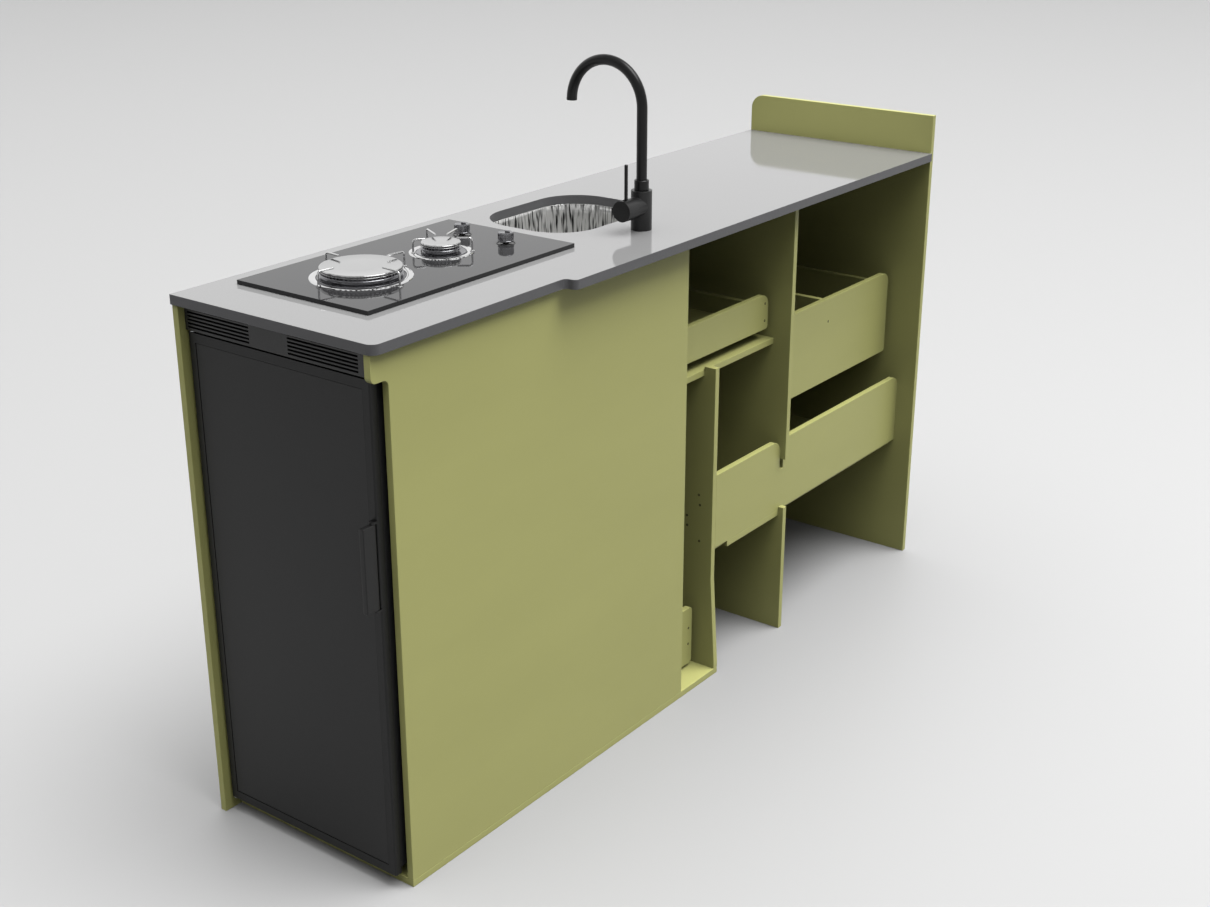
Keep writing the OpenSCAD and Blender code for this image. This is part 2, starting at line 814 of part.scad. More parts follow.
// Two gas valves on the tray, joined by the rail that ends in the inlet pipe
module gas_valves() {
    half = valve_size / 2;
    rail_z = tray_floor_z + half;
    first_y = hob_y - knob_pitch / 2;
    inlet_drop = 26;
    nut_t = 4;
    color(BRASS) difference() {
        union() {
            for (side = [-1, 1])
                translate([knob_x, hob_y + side * knob_pitch / 2, 0])
                    block([-half, -half, tray_floor_z], [half, half, valve_top_z]);
            rod_y([knob_x, first_y, rail_z], gas_pipe_y() - first_y, gas_pipe_d);
            translate([knob_x, gas_pipe_y(), rail_z]) sphere(d = gas_pipe_d);
            rod_z([knob_x, gas_pipe_y(), tray_z - inlet_drop], rail_z - tray_z + inlet_drop, gas_pipe_d);
            rod_z([knob_x, gas_pipe_y(), tray_z - nut_t], nut_t, gas_pipe_d + 6);
        }
        for (side = [-1, 1])
            rod_z([knob_x, hob_y + side * knob_pitch / 2, spindle_foot_z() - knob_travel - 0.5],
                valve_size + 20, spindle_d + 2 * running);
    }
}

// Height of a spindle's lower end at rest
function spindle_foot_z() = valve_top_z - 12;

// Valve spindle, which the knob pushes down: a head holds the knob
module spindle(side) {
    color(BRASS) rod_z(
        [knob_x, hob_y + side * knob_pitch / 2, spindle_foot_z()],
        knob_z + knob_h - 4 - spindle_foot_z(),
        spindle_d
    );
}
module front_spindle() {
    spindle(-1);
}
module rear_spindle() {
    spindle(1);
}

// Knob: a skirt, a slightly drawn-in body, a pointer rib and a bore for the spindle
module knob(side) {
    color(BLACK) translate([knob_x, hob_y + side * knob_pitch / 2, knob_z]) difference() {
        union() {
            rotate_extrude() polygon([
                [0, 0],
                [knob_r, 0],
                [knob_r, 2.5],
                [knob_r - 1.5, 4],
                [knob_r - 2.5, knob_h - 3],
                [knob_r - 4, knob_h - 1.5],
                [0, knob_h - 1.5]
            ]);
            translate([-1.5, -knob_r + 4, knob_h - 4]) cube([3, 2 * knob_r - 8, 4]);
        }
        translate([0, 0, -over]) cylinder(h = knob_h - 4 + over + running, d = spindle_d + 2 * running);
    }
}
module front_knob() {
    knob(-1);
}
module rear_knob() {
    knob(1);
}

// Tap

// Body with its side arm: the spout turns in the bore on top, the side cap on the arm's spigot
module tap_body() {
    arm_root = arm_len - cap_len - slip;
    color(TAP_BLACK) translate([tap_x, tap_y, worktop_h]) difference() {
        union() {
            cylinder(h = tap_body_h, d = tap_body_d);
            rod_x([-arm_root, 0, arm_h], arm_root, tap_body_d - 1);
            rod_x([-arm_root - 8, 0, arm_h], arm_root + 8, cap_bore_d - 2 * running);
            translate([0, 0, -tail_len]) cylinder(h = tail_len + over, d = tail_d);
        }
        translate([0, 0, tap_body_h - shank_len - slip])
            cylinder(h = shank_len + slip + over, d = shank_d + 2 * running);
    }
}

module tap_nut() {
    nut_h = 9;
    washer_h = 3;
    color(BRASS) translate([tap_x, tap_y, carcass_h - washer_h - nut_h]) difference() {
        union() {
            cylinder(h = nut_h, d = tail_d + 16, $fn = 6);
            translate([0, 0, nut_h]) cylinder(h = washer_h, d = tail_d + 18);
        }
        translate([0, 0, -over]) cylinder(h = nut_h + washer_h + 2 * over, d = tail_d);
    }
}

module tap_tails() {
    color(BRASS) for (side = [-1, 1])
        rod_z([tap_x + side * (inlet_d / 2 + 1.5), tap_y, worktop_h - tail_len - inlet_len], inlet_len, inlet_d);
}

// Spout: shank and collar, a straight tube and a half-circle bend towards the sink
module tap_spout() {
    color(TAP_BLACK) translate([tap_x, tap_y, 0]) {
        rod_z([0, 0, collar_z - shank_len], shank_len + over, shank_d);
        rod_z([0, 0, collar_z], collar_h, tube_d + 7);
        rod_z([0, 0, collar_z], worktop_h + tube_straight_h - collar_z, tube_d);
        translate([0, tube_bend_r, worktop_h + tube_straight_h]) rotate([90, 0, 90])
            rotate_extrude(angle = 180) translate([tube_bend_r, 0]) circle(d = tube_d);
    }
}

// Side cap: it turns on the arm's spigot, and its slot lets the lever pin tilt
module tap_cap() {
    slot_w = lever_d + 2 * 0.3;
    color(TAP_BLACK) translate([cap_x, tap_y, arm_z]) difference() {
        rod_x([0, 0, 0], cap_len, tap_body_d);
        rod_x([cap_len - 8 - slip, 0, 0], 8 + slip + over, cap_bore_d);
        block(
            [cap_len / 2 - lever_d / 2 - 7, -slot_w / 2, -lever_d / 2 - 0.3],
            [cap_len - 8 - slip - 1, slot_w / 2, tap_body_d]
        );
    }
}

module tap_lever() {
    color(TAP_BLACK) {
        rod_z([pin_x, tap_y, arm_z], lever_len - lever_d / 2, lever_d);
        translate([pin_x, tap_y, arm_z]) sphere(d = lever_d);
        translate([pin_x, tap_y, arm_z + lever_len - lever_d / 2]) sphere(d = lever_d);
    }
}

// Fridge

// Outline of the fridge's body in X and Z, drawn in by an inset, open at the door's end
function fridge_outline(inset, open) = [
    [open, inset],
    [fridge_depth - niche_len - inset, inset],
    [fridge_depth - niche_len - inset, niche_h + inset],
    [fridge_depth - inset, niche_h + inset],
    [fridge_depth - inset, fridge_h - inset],
    [open, fridge_h - inset]
];

module fridge_body(inset, open) {
    translate([cabinet_x, 0, fridge_z]) facing_plate(fridge_y + inset, cabinet_w - 2 * inset)
        polygon(fridge_outline(inset, open));
}

module fridge_cabinet() {
    color(BLACK) difference() {
        fridge_body(0, 0);
        fridge_body(wall_t, -over);
    }
}

// Liner with ledges for the shelves
module fridge_liner() {
    side = wall_t + liner_t;
    color(WHITE) {
        difference() {
            fridge_body(wall_t, 0);
            fridge_body(side, -over);
        }
        for (z = shelf_heights, y = [fridge_y + side - over, fridge_y + cabinet_w - side - ledge])
            block(
                [cabinet_x + 20, y, fridge_z + z - ledge],
                [cabinet_x + fridge_depth - side, y + ledge + over, fridge_z + z]
            );
    }
}

module fridge_shelves() {
    side = wall_t + liner_t;
    shelf_t = 4;
    rack_gap = 18;
    rear_gap = 24;
    shelf_front = cabinet_x + rack_depth + rack_gap;
    shelf_back = cabinet_x + fridge_depth - side - rear_gap;
    color(GLASS) for (z = shelf_heights)
        block(
            [shelf_front, fridge_y + side + slip, fridge_z + z],
            [shelf_back, fridge_y + cabinet_w - side - slip, fridge_z + z + shelf_t]
        );
}

// Evaporator plate on the liner's rear wall, above the top shelf
module evaporator() {
    side = wall_t + liner_t;
    margin = 30;
    plate_x = cabinet_x + fridge_depth - side;
    thick = 6;
    top = fridge_z + fridge_h - side - margin;
    color(STEEL) block(
        [plate_x - thick, fridge_y + side + margin, fridge_z + niche_h + side + margin],
        [plate_x, fridge_y + cabinet_w - side - margin, top]
    );
}

module compressor() {
    pot_r = 52;
    pot_h = 96;
    dome_h = 30;
    deck_t = 1.5;
    deck_x = cabinet_x + fridge_depth - niche_len;
    color(BLACK) {
        block([deck_x, fridge_y, fridge_z], [deck_x + niche_len, fridge_y + cabinet_w, fridge_z + deck_t]);
        translate([deck_x + niche_len / 2, fridge_y + cabinet_w / 2, fridge_z]) rotate_extrude() polygon([
            [0, 0],
            [pot_r, 0],
            [pot_r, pot_h],
            [pot_r * 0.8, pot_h + dome_h * 2 / 3],
            [pot_r * 0.4, pot_h + dome_h * 0.93],
            [0, pot_h + dome_h]
        ]);
    }
}

module fridge_feet() {
    inset = 30;
    foot_d = 24;
    front_inset = 3 * inset;
    color(BLACK) for (
        x = [cabinet_x + front_inset, cabinet_x + fridge_depth - inset],
        y = [fridge_y + inset, fridge_y + cabinet_w - inset]
    )
        rod_z([x, y, panel_t], foot_h, foot_d);
}

// Grille above the door, with two groups of slots
module vent_grille() {
    grille_z = fridge_top + plate_t + slip;
    grille_h = carcass_h - grille_z;
    pitch = grille_h / 7;
    slot_h = pitch / 2;
    first_z = grille_z + (grille_h - (vent_slots - 1) * pitch) / 2;
    grille_len = inner_back - inner_front;
    groups = [[0.06, 0.365], [0.635, 0.35]] * grille_len;
    color(GRAPHITE) difference() {
        block([door_x, inner_front, grille_z], [door_x + 10, inner_back, carcass_h]);
        for (group = groups, k = [0 : vent_slots - 1])
            translate([door_x - over, inner_front + group[0], first_z + k * pitch - slot_h / 2])
                cube([10 + 2 * over, group[1], slot_h]);
    }
}

// Hinge plates above and below the door, each with the pin that the door turns on
module hinge_brackets() {
    plate_w = wall_t * 0.8;
    reach = wall_t * 1.6;
    color(STEEL) for (end = [[fridge_top, 0], [fridge_z, 1]])
        translate([0, 0, end[0]]) mirror([0, 0, end[1]]) {
            block([hinge_x, hinge_y - plate_w + 6, 0], [cabinet_x + reach, hinge_y + 2, plate_t]);
            rod_z([hinge_x, hinge_y, 0], plate_t, hinge_d + 5);
            rod_z([hinge_x, hinge_y, -hinge_pin_len], hinge_pin_len + over, hinge_d);
        }
}

// Door frame: a slab with rounded front edges, recessed for the panel, with the latch's two ears
module door_frame() {
    edge_r = 3;
    y1 = door_y + fridge_w;
    color(GRAPHITE) difference() {
        union() {
            translate([0, 0, door_z]) linear_extrude(door_h) difference() {
                area([door_x, door_y], [core_x, y1]);
                corner_piece([door_x, door_y], edge_r, [1, 1]);
                corner_piece([door_x, y1], edge_r, [1, -1]);
            }
            for (z = [latch_z - ear_h, latch_z + latch_h]) {
                rod_z([latch_x, latch_y, z], ear_h, latch_t);
                block([latch_x, latch_y - latch_t / 2, z], [door_x + 5, latch_y + latch_t / 2, z + ear_h]);
            }
            for (z = [latch_z - over, latch_z + latch_h - 8])
                rod_z([latch_x, latch_y, z], 8 + over, latch_pin_d);
        }
        block(
            [door_x - over, door_y + door_rim, door_z + door_rim],
            [door_x + 3, y1 - door_rim, door_z + door_h - door_rim]
        );
        for (z = [door_z - over, door_z + door_h - hinge_pin_len - 1])
            rod_z([hinge_x, hinge_y, z], hinge_pin_len + 1 + over, hinge_d + 2 * running);
    }
}

module door_panel() {
    gap = 0.6;
    color(GRAPHITE) block(
        [door_x + 0.6, door_y + door_rim + gap, door_z + door_rim + gap],
        [door_x + 3, door_y + fridge_w - door_rim - gap, door_z + door_h - door_rim - gap]
    );
}

module door_core() {
    color(BLACK) block(
        [core_x, door_y + core_inset, door_z + core_inset],
        [core_x + core_t, door_y + fridge_w - core_inset, door_z + door_h - core_inset]
    );
}

module door_gasket() {
    inset = core_inset + 4;
    gasket_w = 12;
    x = core_x + core_t;
    y1 = door_y + fridge_w;
    z1 = door_z + door_h;
    color(BLACK) difference() {
        block([x, door_y + inset, door_z + inset], [x + gasket_t, y1 - inset, z1 - inset]);
        block(
            [x - over, door_y + inset + gasket_w, door_z + inset + gasket_w],
            [x + gasket_t + over, y1 - inset - gasket_w, z1 - inset - gasket_w]
        );
    }
}

// Bottle racks on the inside of the door
module door_rack() {
    rack_t = 2.5;
    rack_h = 70;
    x = core_x + core_t;
    y0 = fridge_y + wall_t + liner_t + 20;
    y1 = fridge_y + cabinet_w - wall_t - liner_t - 20;
    color(WHITE) for (z = rack_heights)
        translate([0, 0, fridge_z + z]) difference() {
            block([x, y0, 0], [x + rack_depth, y1, rack_h]);
            block([x + rack_t, y0 + rack_t, rack_t], [x + rack_depth - rack_t, y1 - rack_t, rack_h + over]);
        }
}

// Latch lever: a flat grip that turns on the pins of the door's ears
module latch_lever() {
    gap = slip / 2;
    grip_x = door_x - latch_reach;
    color(GRAPHITE) difference() {
        union() {
            rod_z([latch_x, latch_y, latch_z + gap], latch_h - 2 * gap, latch_t);
            block(
                [grip_x, latch_y - latch_t / 2, latch_z + gap],
                [latch_x, latch_y + latch_t / 2, latch_z + latch_h - gap]
            );
        }
        rod_z([latch_x, latch_y, latch_z - over], latch_h + 2 * over, latch_pin_d + 2 * running);
    }
}

// Drawers

// Front of a drawer between two walls, with rounded corners
module drawer_front(x0, x1, z, h, top_r, bottom_r) {
    a = x0 + runner_gap;
    b = x1 - runner_gap;
    color(OLIVE) facing_plate(front + drawer_setback, panel_t) difference() {
        area([a, z], [b, z + h]);
        corner_piece([a, z], bottom_r, [1, 1]);
        corner_piece([b, z], bottom_r, [-1, 1]);
        corner_piece([a, z + h], top_r, [1, -1]);
        corner_piece([b, z + h], top_r, [-1, -1]);
    }
}

// Two sides, a back and a bottom between two walls
module drawer_box(x0, x1, z, h) {
    a = x0 + runner_gap;
    b = x1 - runner_gap;
    y0 = front + drawer_setback + panel_t;
    y1 = front + runner_setback + runner_len + 4;
    base = z + 2;
    top = z + h - side_drop;
    inner_a = a + panel_t + glue;
    inner_b = b - panel_t - glue;
    floor_z = base + drawer_bottom_lift;
    color(OLIVE) {
        block([a, y0, base], [a + panel_t, y1, top]);
        block([b - panel_t, y0, base], [b, y1, top]);
        block([inner_a, y1 - panel_t, base], [inner_b, y1, top]);
        block([inner_a, y0, floor_z], [inner_b, y1 - panel_t - glue, floor_z + drawer_bottom_t]);
    }
}

module drawer_runners(x0, x1, z, h) {
    color(STEEL) {
        moving_member(x0, runner_z(z, h), 1);
        moving_member(x1, runner_z(z, h), -1);
    }
}

module left_drawer_front() {
    drawer_front(tall_bay_x, divider_x, left_drawer_z, left_drawer_h, 22, 7);
}
module left_drawer_box() {
    drawer_box(tall_bay_x, divider_x, left_drawer_z, left_drawer_h);
}
module left_drawer_runners() {
    drawer_runners(tall_bay_x, divider_x, left_drawer_z, left_drawer_h);
}
module right_drawer_front() {
    drawer_front(end_bay_x, end_panel_x, right_drawer_z, right_drawer_h, 22, 7);
}
module right_drawer_box() {
    drawer_box(end_bay_x, end_panel_x, right_drawer_z, right_drawer_h);
}
module right_drawer_runners() {
    drawer_runners(end_bay_x, end_panel_x, right_drawer_z, right_drawer_h);
}

// Board that parts the right drawer in two, level with the top of its front
module right_drawer_divider() {
    a = end_bay_x + runner_gap + panel_t;
    b = end_panel_x - runner_gap - panel_t;
    x = a + (b - a - panel_t) * divider_share;
    y0 = front + drawer_setback + panel_t;
    y1 = front + runner_setback + runner_len + 4 - panel_t - glue;
    base = right_drawer_z + 2 + drawer_bottom_lift + drawer_bottom_t;
    color(OLIVE) block([x, y0, base], [x + panel_t, y1, right_drawer_z + right_drawer_h]);
}

module narrow_drawer_front() {
    drawer_front(tall_bay_x, upright_x, narrow_drawer_z, narrow_drawer_h, 10, 7);
}
module narrow_drawer_box() {
    drawer_box(tall_bay_x, upright_x, narrow_drawer_z, narrow_drawer_h);
}
module narrow_drawer_runners() {
    drawer_runners(tall_bay_x, upright_x, narrow_drawer_z, narrow_drawer_h);
}

base_board();
front_panel();
rear_panel();
end_panel();
fridge_partition();
bay_partition();
intermediate_upright();
mid_divider();
upper_shelf();
lower_shelves();
front_board();
worktop();
worktop_brackets();
cabinet_runners();
sink_bowl();
sink_waste();
mounting_clips();
hob_glass();
hob_tray();
burner_bases();
burner_caps();
burner_trims();
pan_supports();
igniters();
gas_valves();
front_spindle();
rear_spindle();
front_knob();
rear_knob();
tap_body();
tap_nut();
tap_tails();
tap_spout();
tap_cap();
tap_lever();
fridge_cabinet();
fridge_liner();
fridge_shelves();
evaporator();
compressor();
fridge_feet();
vent_grille();
hinge_brackets();
door_frame();
door_panel();
door_core();
door_gasket();
door_rack();
latch_lever();
left_drawer_front();
left_drawer_box();
left_drawer_runners();
right_drawer_front();
right_drawer_box();
right_drawer_runners();
right_drawer_divider();
narrow_drawer_front();
narrow_drawer_box();
narrow_drawer_runners();
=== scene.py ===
# %% [markdown]
# # Campervan kitchen pod
# The pod is a slim galley unit: painted plywood panels, a fridge at one end, a gas hob and a sink in a
# polished worktop, a black swivel tap, three drawers and open bins. Its sizes and joints are already
# settled in a construction model. This lesson only dresses it, so the first step loads that model.

# %% Load the construction model
import json
import math
import bmesh
import bpy
from mathutils import Matrix, Vector

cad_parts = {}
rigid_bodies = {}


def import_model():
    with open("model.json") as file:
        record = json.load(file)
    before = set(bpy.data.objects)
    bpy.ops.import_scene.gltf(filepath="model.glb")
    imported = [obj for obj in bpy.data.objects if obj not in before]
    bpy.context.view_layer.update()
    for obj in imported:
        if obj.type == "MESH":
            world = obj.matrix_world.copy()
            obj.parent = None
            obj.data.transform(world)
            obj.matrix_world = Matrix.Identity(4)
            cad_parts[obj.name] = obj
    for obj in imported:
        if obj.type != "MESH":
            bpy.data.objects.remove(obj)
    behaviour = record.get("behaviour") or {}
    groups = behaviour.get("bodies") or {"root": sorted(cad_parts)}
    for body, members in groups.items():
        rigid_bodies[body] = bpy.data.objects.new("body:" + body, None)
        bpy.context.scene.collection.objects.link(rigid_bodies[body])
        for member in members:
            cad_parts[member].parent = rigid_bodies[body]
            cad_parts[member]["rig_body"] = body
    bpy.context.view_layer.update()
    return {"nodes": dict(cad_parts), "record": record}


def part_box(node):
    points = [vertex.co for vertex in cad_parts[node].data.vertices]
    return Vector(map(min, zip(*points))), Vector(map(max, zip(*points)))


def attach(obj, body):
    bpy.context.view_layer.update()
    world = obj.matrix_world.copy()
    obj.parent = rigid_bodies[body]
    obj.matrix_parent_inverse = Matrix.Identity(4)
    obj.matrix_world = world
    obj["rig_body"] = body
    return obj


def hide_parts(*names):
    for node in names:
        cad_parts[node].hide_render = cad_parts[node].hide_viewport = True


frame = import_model()
nodes = frame["nodes"]
MM = 0.001

# %% [markdown]
# ## Camera
# The unit is seen from its front left corner, from a little above the worktop. A 50 mm lens keeps the
# long sides nearly straight. The camera could aim at an empty, but two angles and a place say the same
# with nothing extra in the scene: it looks down by one angle and is turned from +Y by the other.

# %% Camera
camera_data = bpy.data.cameras.new("camera")
camera_data.lens = 50
camera_data.sensor_width = 36
camera_data.clip_end = 100
camera = bpy.data.objects.new("camera", camera_data)
bpy.context.scene.collection.objects.link(camera)
left_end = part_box("rear_panel")[0][0]
open_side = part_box("front_panel")[0][1]
camera.location = (left_end - 1.54303, open_side - 1.5556, 1.59985)
down, turned = math.radians(21.613), math.radians(53.157)
camera.rotation_euler = (math.pi / 2 - down, 0, -turned)
bpy.context.scene.camera = camera
print("camera at", [round(v, 3) for v in camera.location])

# %% [markdown]
# ## Helpers for every material
# Colours are written as the hex values that a paint chart gives, and Blender mixes light in linear
# values, so one function turns one into the other. The second adds a node, sets its properties and
# joins or fills its sockets. Short names for the nodes used most keep each finish below down to the few
# lines that describe it.

# %% Material helpers
def linear(hex_code):
    """Linear colour of an sRGB hex value."""
    channels = [int(hex_code[i:i + 2], 16) / 255 for i in (1, 3, 5)]
    return [c / 12.92 if c <= 0.04045 else ((c + 0.055) / 1.055) ** 2.4 for c in channels] + [1.0]


def add(tree, kind, sockets=None, **settings):
    """A new node with its settings, and its sockets filled with values or joined to other sockets."""
    node = tree.nodes.new(kind)
    for name, value in settings.items():
        setattr(node, name, value)
    for key, value in (sockets or {}).items():
        if isinstance(value, bpy.types.NodeSocket):
            tree.links.new(value, node.inputs[key])
        else:
            node.inputs[key].default_value = value
    return node


def blend(tree, share, first, second):
    """A colour that goes from the first to the second while a share goes from 0 to 1."""
    return add(tree, "ShaderNodeMix", {0: share, 6: first, 7: second}, data_type="RGBA").outputs[2]


def ramp(tree, value, low, high, **settings):
    """A share that goes from 0 to 1 while a value goes from low to high."""
    limits = {"Value": value, "From Min": low, "From Max": high}
    return add(tree, "ShaderNodeMapRange", limits, **settings).outputs["Result"]


def calculate(tree, operation, *values, **settings):
    """The result of one operation on one or two values."""
    return add(tree, "ShaderNodeMath", dict(enumerate(values)), operation=operation, **settings).outputs[0]


def noise(tree, size_mm, detail=2.0, stretch=(1, 1, 1)):
    """Noise whose features are about size_mm across, drawn out along an axis by a small stretch there."""
    spot = add(tree, "ShaderNodeTexCoord").outputs["Object"]
    scales = [share / (size_mm * MM) for share in stretch]
    scaled = add(tree, "ShaderNodeMapping", {"Vector": spot, "Scale": scales})
    return add(tree, "ShaderNodeTexNoise", {"Vector": scaled.outputs[0], "Scale": 1.0, "Detail": detail})


def between(tree, value, low, high):
    """A noise value, which stays mostly between 0.25 and 0.75, moved to run from low to high."""
    return add(tree, "ShaderNodeMapRange", {"Value": value, "From Min": 0.25, "From Max": 0.75,
                                            "To Min": low, "To Max": high}).outputs["Result"]


def finish(name, colour, rough, tone=(120, 0.04), grain=(3, 0.02), stretch=(1, 1, 1), metallic=0.0,
           rough_spread=0.04, **sockets):
    """A surface with a drift of tone over so many mm, and a relief of so many mm across and deep."""
    made = bpy.data.materials.new(name)
    made.use_nodes = True
    tree = made.node_tree
    tree.nodes.clear()
    drift = noise(tree, tone[0], 3.0, stretch).outputs["Fac"]
    base = linear(colour)
    dark = [c * (1 - tone[1]) for c in base[:3]] + [1]
    light = [min(1, c * (1 + tone[1])) for c in base[:3]] + [1]
    shade = blend(tree, between(tree, drift, 0, 1), dark, light)
    relief = noise(tree, grain[0], 2.0, stretch).outputs["Fac"]
    bump = add(tree, "ShaderNodeBump", {"Height": relief, "Distance": grain[1] * MM, "Strength": 1.0})
    surface = add(tree, "ShaderNodeBsdfPrincipled", {
        "Base Color": shade,
        "Roughness": between(tree, relief, rough - rough_spread, rough + rough_spread),
        "Metallic": metallic, "Normal": bump.outputs["Normal"], **sockets})
    add(tree, "ShaderNodeOutputMaterial", {"Surface": surface.outputs["BSDF"]})
    return made


def overlay(material, colour, share):
    """Lay another tone over a finish, as far as a share made by a function of its tree says."""
    tree = material.node_tree
    surface = next(node for node in tree.nodes if node.type == "BSDF_PRINCIPLED")
    under = surface.inputs["Base Color"].links[0].from_socket
    tree.links.new(blend(tree, share(tree), under, linear(colour)), surface.inputs["Base Color"])
    return material


print("helpers ready")

# %% [markdown]
# ## The studio
# The unit stands on a pale floor that runs to the edge of the picture. A backdrop could close the
# view instead, but one large floor gives the same seamless look and keeps the soft shadow round the
# base. Its colour is a painted pool of light: it falls off slowly from one spot, as on a lit studio
# floor, and from a low angle it meets a plain backdrop of about the same tone. The camera and polished
# metal see that pale floor, while the light that it throws back at the unit is that of a darker one, so
# the bays stay as dim as under a product photographer's overhead light.

# %% Floor
floor_data = bpy.data.meshes.new("floor")
reach = 40.0
floor_data.from_pydata([(-reach, -reach, 0), (reach, -reach, 0), (reach, reach, 0), (-reach, reach, 0)],
                       [], [(0, 1, 2, 3)])
floor = bpy.data.objects.new("floor", floor_data)
bpy.context.scene.collection.objects.link(floor)
floor_paint = bpy.data.materials.new("matt_studio_floor")
floor_paint.use_nodes = True
tree = floor_paint.node_tree
tree.nodes.clear()
spot = add(tree, "ShaderNodeTexCoord").outputs["Object"]
# Painted pool of light: the floor's colour is palest at this spot and falls off with distance from it.
painted_light_centre = (1.5, -2.5, 0)
away = add(tree, "ShaderNodeVectorMath", {0: spot, 1: painted_light_centre}, operation="DISTANCE").outputs["Value"]
fall = calculate(tree, "POWER", ramp(tree, away, 1.5, 14.5), 0.7)
pale = blend(tree, fall, linear("#C4C4C4"), linear("#999999"))
rays = add(tree, "ShaderNodeLightPath").outputs
lit = blend(tree, rays["Is Diffuse Ray"], pale, linear("#464646"))
matt = add(tree, "ShaderNodeBsdfPrincipled", {"Base Color": lit, "Roughness": 0.5,
                                              "Specular IOR Level": 0.45})
add(tree, "ShaderNodeOutputMaterial", {"Surface": matt.outputs["BSDF"]})
floor_data.materials.append(floor_paint)
print("floor", 2 * reach, "m across")

# %% [markdown]
# ## Light
# Most of the light comes from a large soft ceiling: the sky is much brighter overhead than at the
# horizon, so open faces are even, the overhang throws a broad shadow, and the bays behind the drawers
# fall dark. One wide sun from above the front adds shape. Spot lamps would do the same with hard edges
# that this object doesn't show. Shiny surfaces see an even pale wall ahead, and dark bands high up and
# to the sides, as between a studio's light panels, so that chrome and polished steel have something to
# show besides white.

# %% Sky and sun
world = bpy.data.worlds.new("studio")
bpy.context.scene.world = world
world.use_nodes = True
tree = world.node_tree
tree.nodes.clear()
direction = add(tree, "ShaderNodeTexCoord").outputs["Generated"]
parts = add(tree, "ShaderNodeSeparateXYZ", {0: direction}).outputs
high = ramp(tree, parts["Z"], 0.6, 0.68, interpolation_type="SMOOTHSTEP")
bright_side = (0.8, 0.6, 0)
ahead = add(tree, "ShaderNodeVectorMath", {0: direction, 1: bright_side}, operation="DOT_PRODUCT")
aside = ramp(tree, ahead.outputs["Value"], 0.35, 0.1, interpolation_type="SMOOTHSTEP")
ceiling = add(tree, "ShaderNodeMapping", {"Vector": direction, "Rotation": (0, 0, 0.6)}).outputs[0]
bands = add(tree, "ShaderNodeTexWave", {"Vector": ceiling, "Scale": 2.2, "Distortion": 2.5, "Detail": 1.0},
            wave_profile="SIN").outputs["Fac"]
amount = calculate(tree, "MULTIPLY", calculate(tree, "MAXIMUM", high, aside), ramp(tree, bands, 0.5, 0.6))
mirrored = blend(tree, amount, (1.0, 1.0, 1.0, 1), (0.02, 0.02, 0.02, 1))
overhead = calculate(tree, "MULTIPLY", calculate(tree, "POWER", parts["Z"], 3.6), 2.85)
rays = add(tree, "ShaderNodeLightPath").outputs
seen = calculate(tree, "ADD", rays["Is Camera Ray"], rays["Is Glossy Ray"])
seen = calculate(tree, "ADD", seen, rays["Is Transmission Ray"], use_clamp=True)
backdrop = blend(tree, ramp(tree, parts["Z"], 0.0, 0.3), linear("#C8C8C8"), linear("#E0E0E0"))
light = blend(tree, rays["Is Camera Ray"], blend(tree, seen, overhead, mirrored), backdrop)
background = add(tree, "ShaderNodeBackground", {"Color": light, "Strength": 1.0})
add(tree, "ShaderNodeOutputWorld", {"Surface": background.outputs[0]})

sun_data = bpy.data.lights.new("soft_sun", "SUN")
sun_data.energy = 2.1
sun_data.angle = math.radians(40)
sun = bpy.data.objects.new("soft_sun", sun_data)
bpy.context.scene.collection.objects.link(sun)
sun.rotation_euler = Vector((-0.22, 0.4, -1.0)).to_track_quat("-Z", "Y").to_euler()
print("sky and one sun")

# %% [markdown]
# ## Painted plywood
# The panels are birch plywood in a satin olive paint, put on with a fine roller. The paint hides the
# veneer, so what the eye gets is an even colour, a soft sheen, a faint orange-peel relief about 1 mm
# across (drawn at 2.5 mm so that it shows) and a very slow drift of tone along each board. Light that
# bounces from board to board sees a duller tone, which keeps the bays from glowing green.

# %% Olive paint
olive_paint = finish("satin_olive_paint_on_birch_plywood", "#CECE83", 0.45, tone=(260, 0.035),
                     grain=(2.5, 0.02), stretch=(0.5, 1, 1.6), IOR=1.46)
overlay(olive_paint, "#56564C", lambda tree: add(tree, "ShaderNodeLightPath").outputs["Is Diffuse Ray"])
print(olive_paint.name)

# %% [markdown]
# ## Worktop
# The worktop is a mineral-filled acrylic sheet, polished on top and honed along its cut edges. The
# polish mirrors the upstand and the tap at a low angle. The honed edges are rougher, and their colour is
# a painted shade, darker than the top because they face away from the overhead light; the shader mixes
# the two by how far the surface faces up. A speckle of filler about 1 mm across, drawn at 2 mm, is just
# visible.

# %% Polished and honed acrylic stone
stone = bpy.data.materials.new("polished_mineral_acrylic")
stone.use_nodes = True
tree = stone.node_tree
tree.nodes.clear()
speck = noise(tree, 2.0, 1.0).outputs["Fac"]
cloud = noise(tree, 180, 2.0).outputs["Fac"]
dots = between(tree, speck, 0, 1)
top_tone = blend(tree, dots, linear("#8F8F8F"), linear("#959595"))
# Painted shade: faces that look sideways get a darker copy of the stone's colour.
shaded_edge_tone = blend(tree, dots, linear("#6A6A6C"), linear("#707072"))
facing = add(tree, "ShaderNodeSeparateXYZ", {0: add(tree, "ShaderNodeNewGeometry").outputs["True Normal"]})
up = ramp(tree, facing.outputs["Z"], 0.5, 0.9)
tone = blend(tree, up, shaded_edge_tone, top_tone)
polish = between(tree, cloud, 0.05, 0.08)
rough = add(tree, "ShaderNodeMix", {0: up, 2: 0.35, 3: polish}).outputs[0]
surface = add(tree, "ShaderNodeBsdfPrincipled", {"Base Color": tone, "Roughness": rough, "IOR": 1.5,
                                               "Specular IOR Level": 0.3})
add(tree, "ShaderNodeOutputMaterial", {"Surface": surface.outputs["BSDF"]})
print(stone.name)
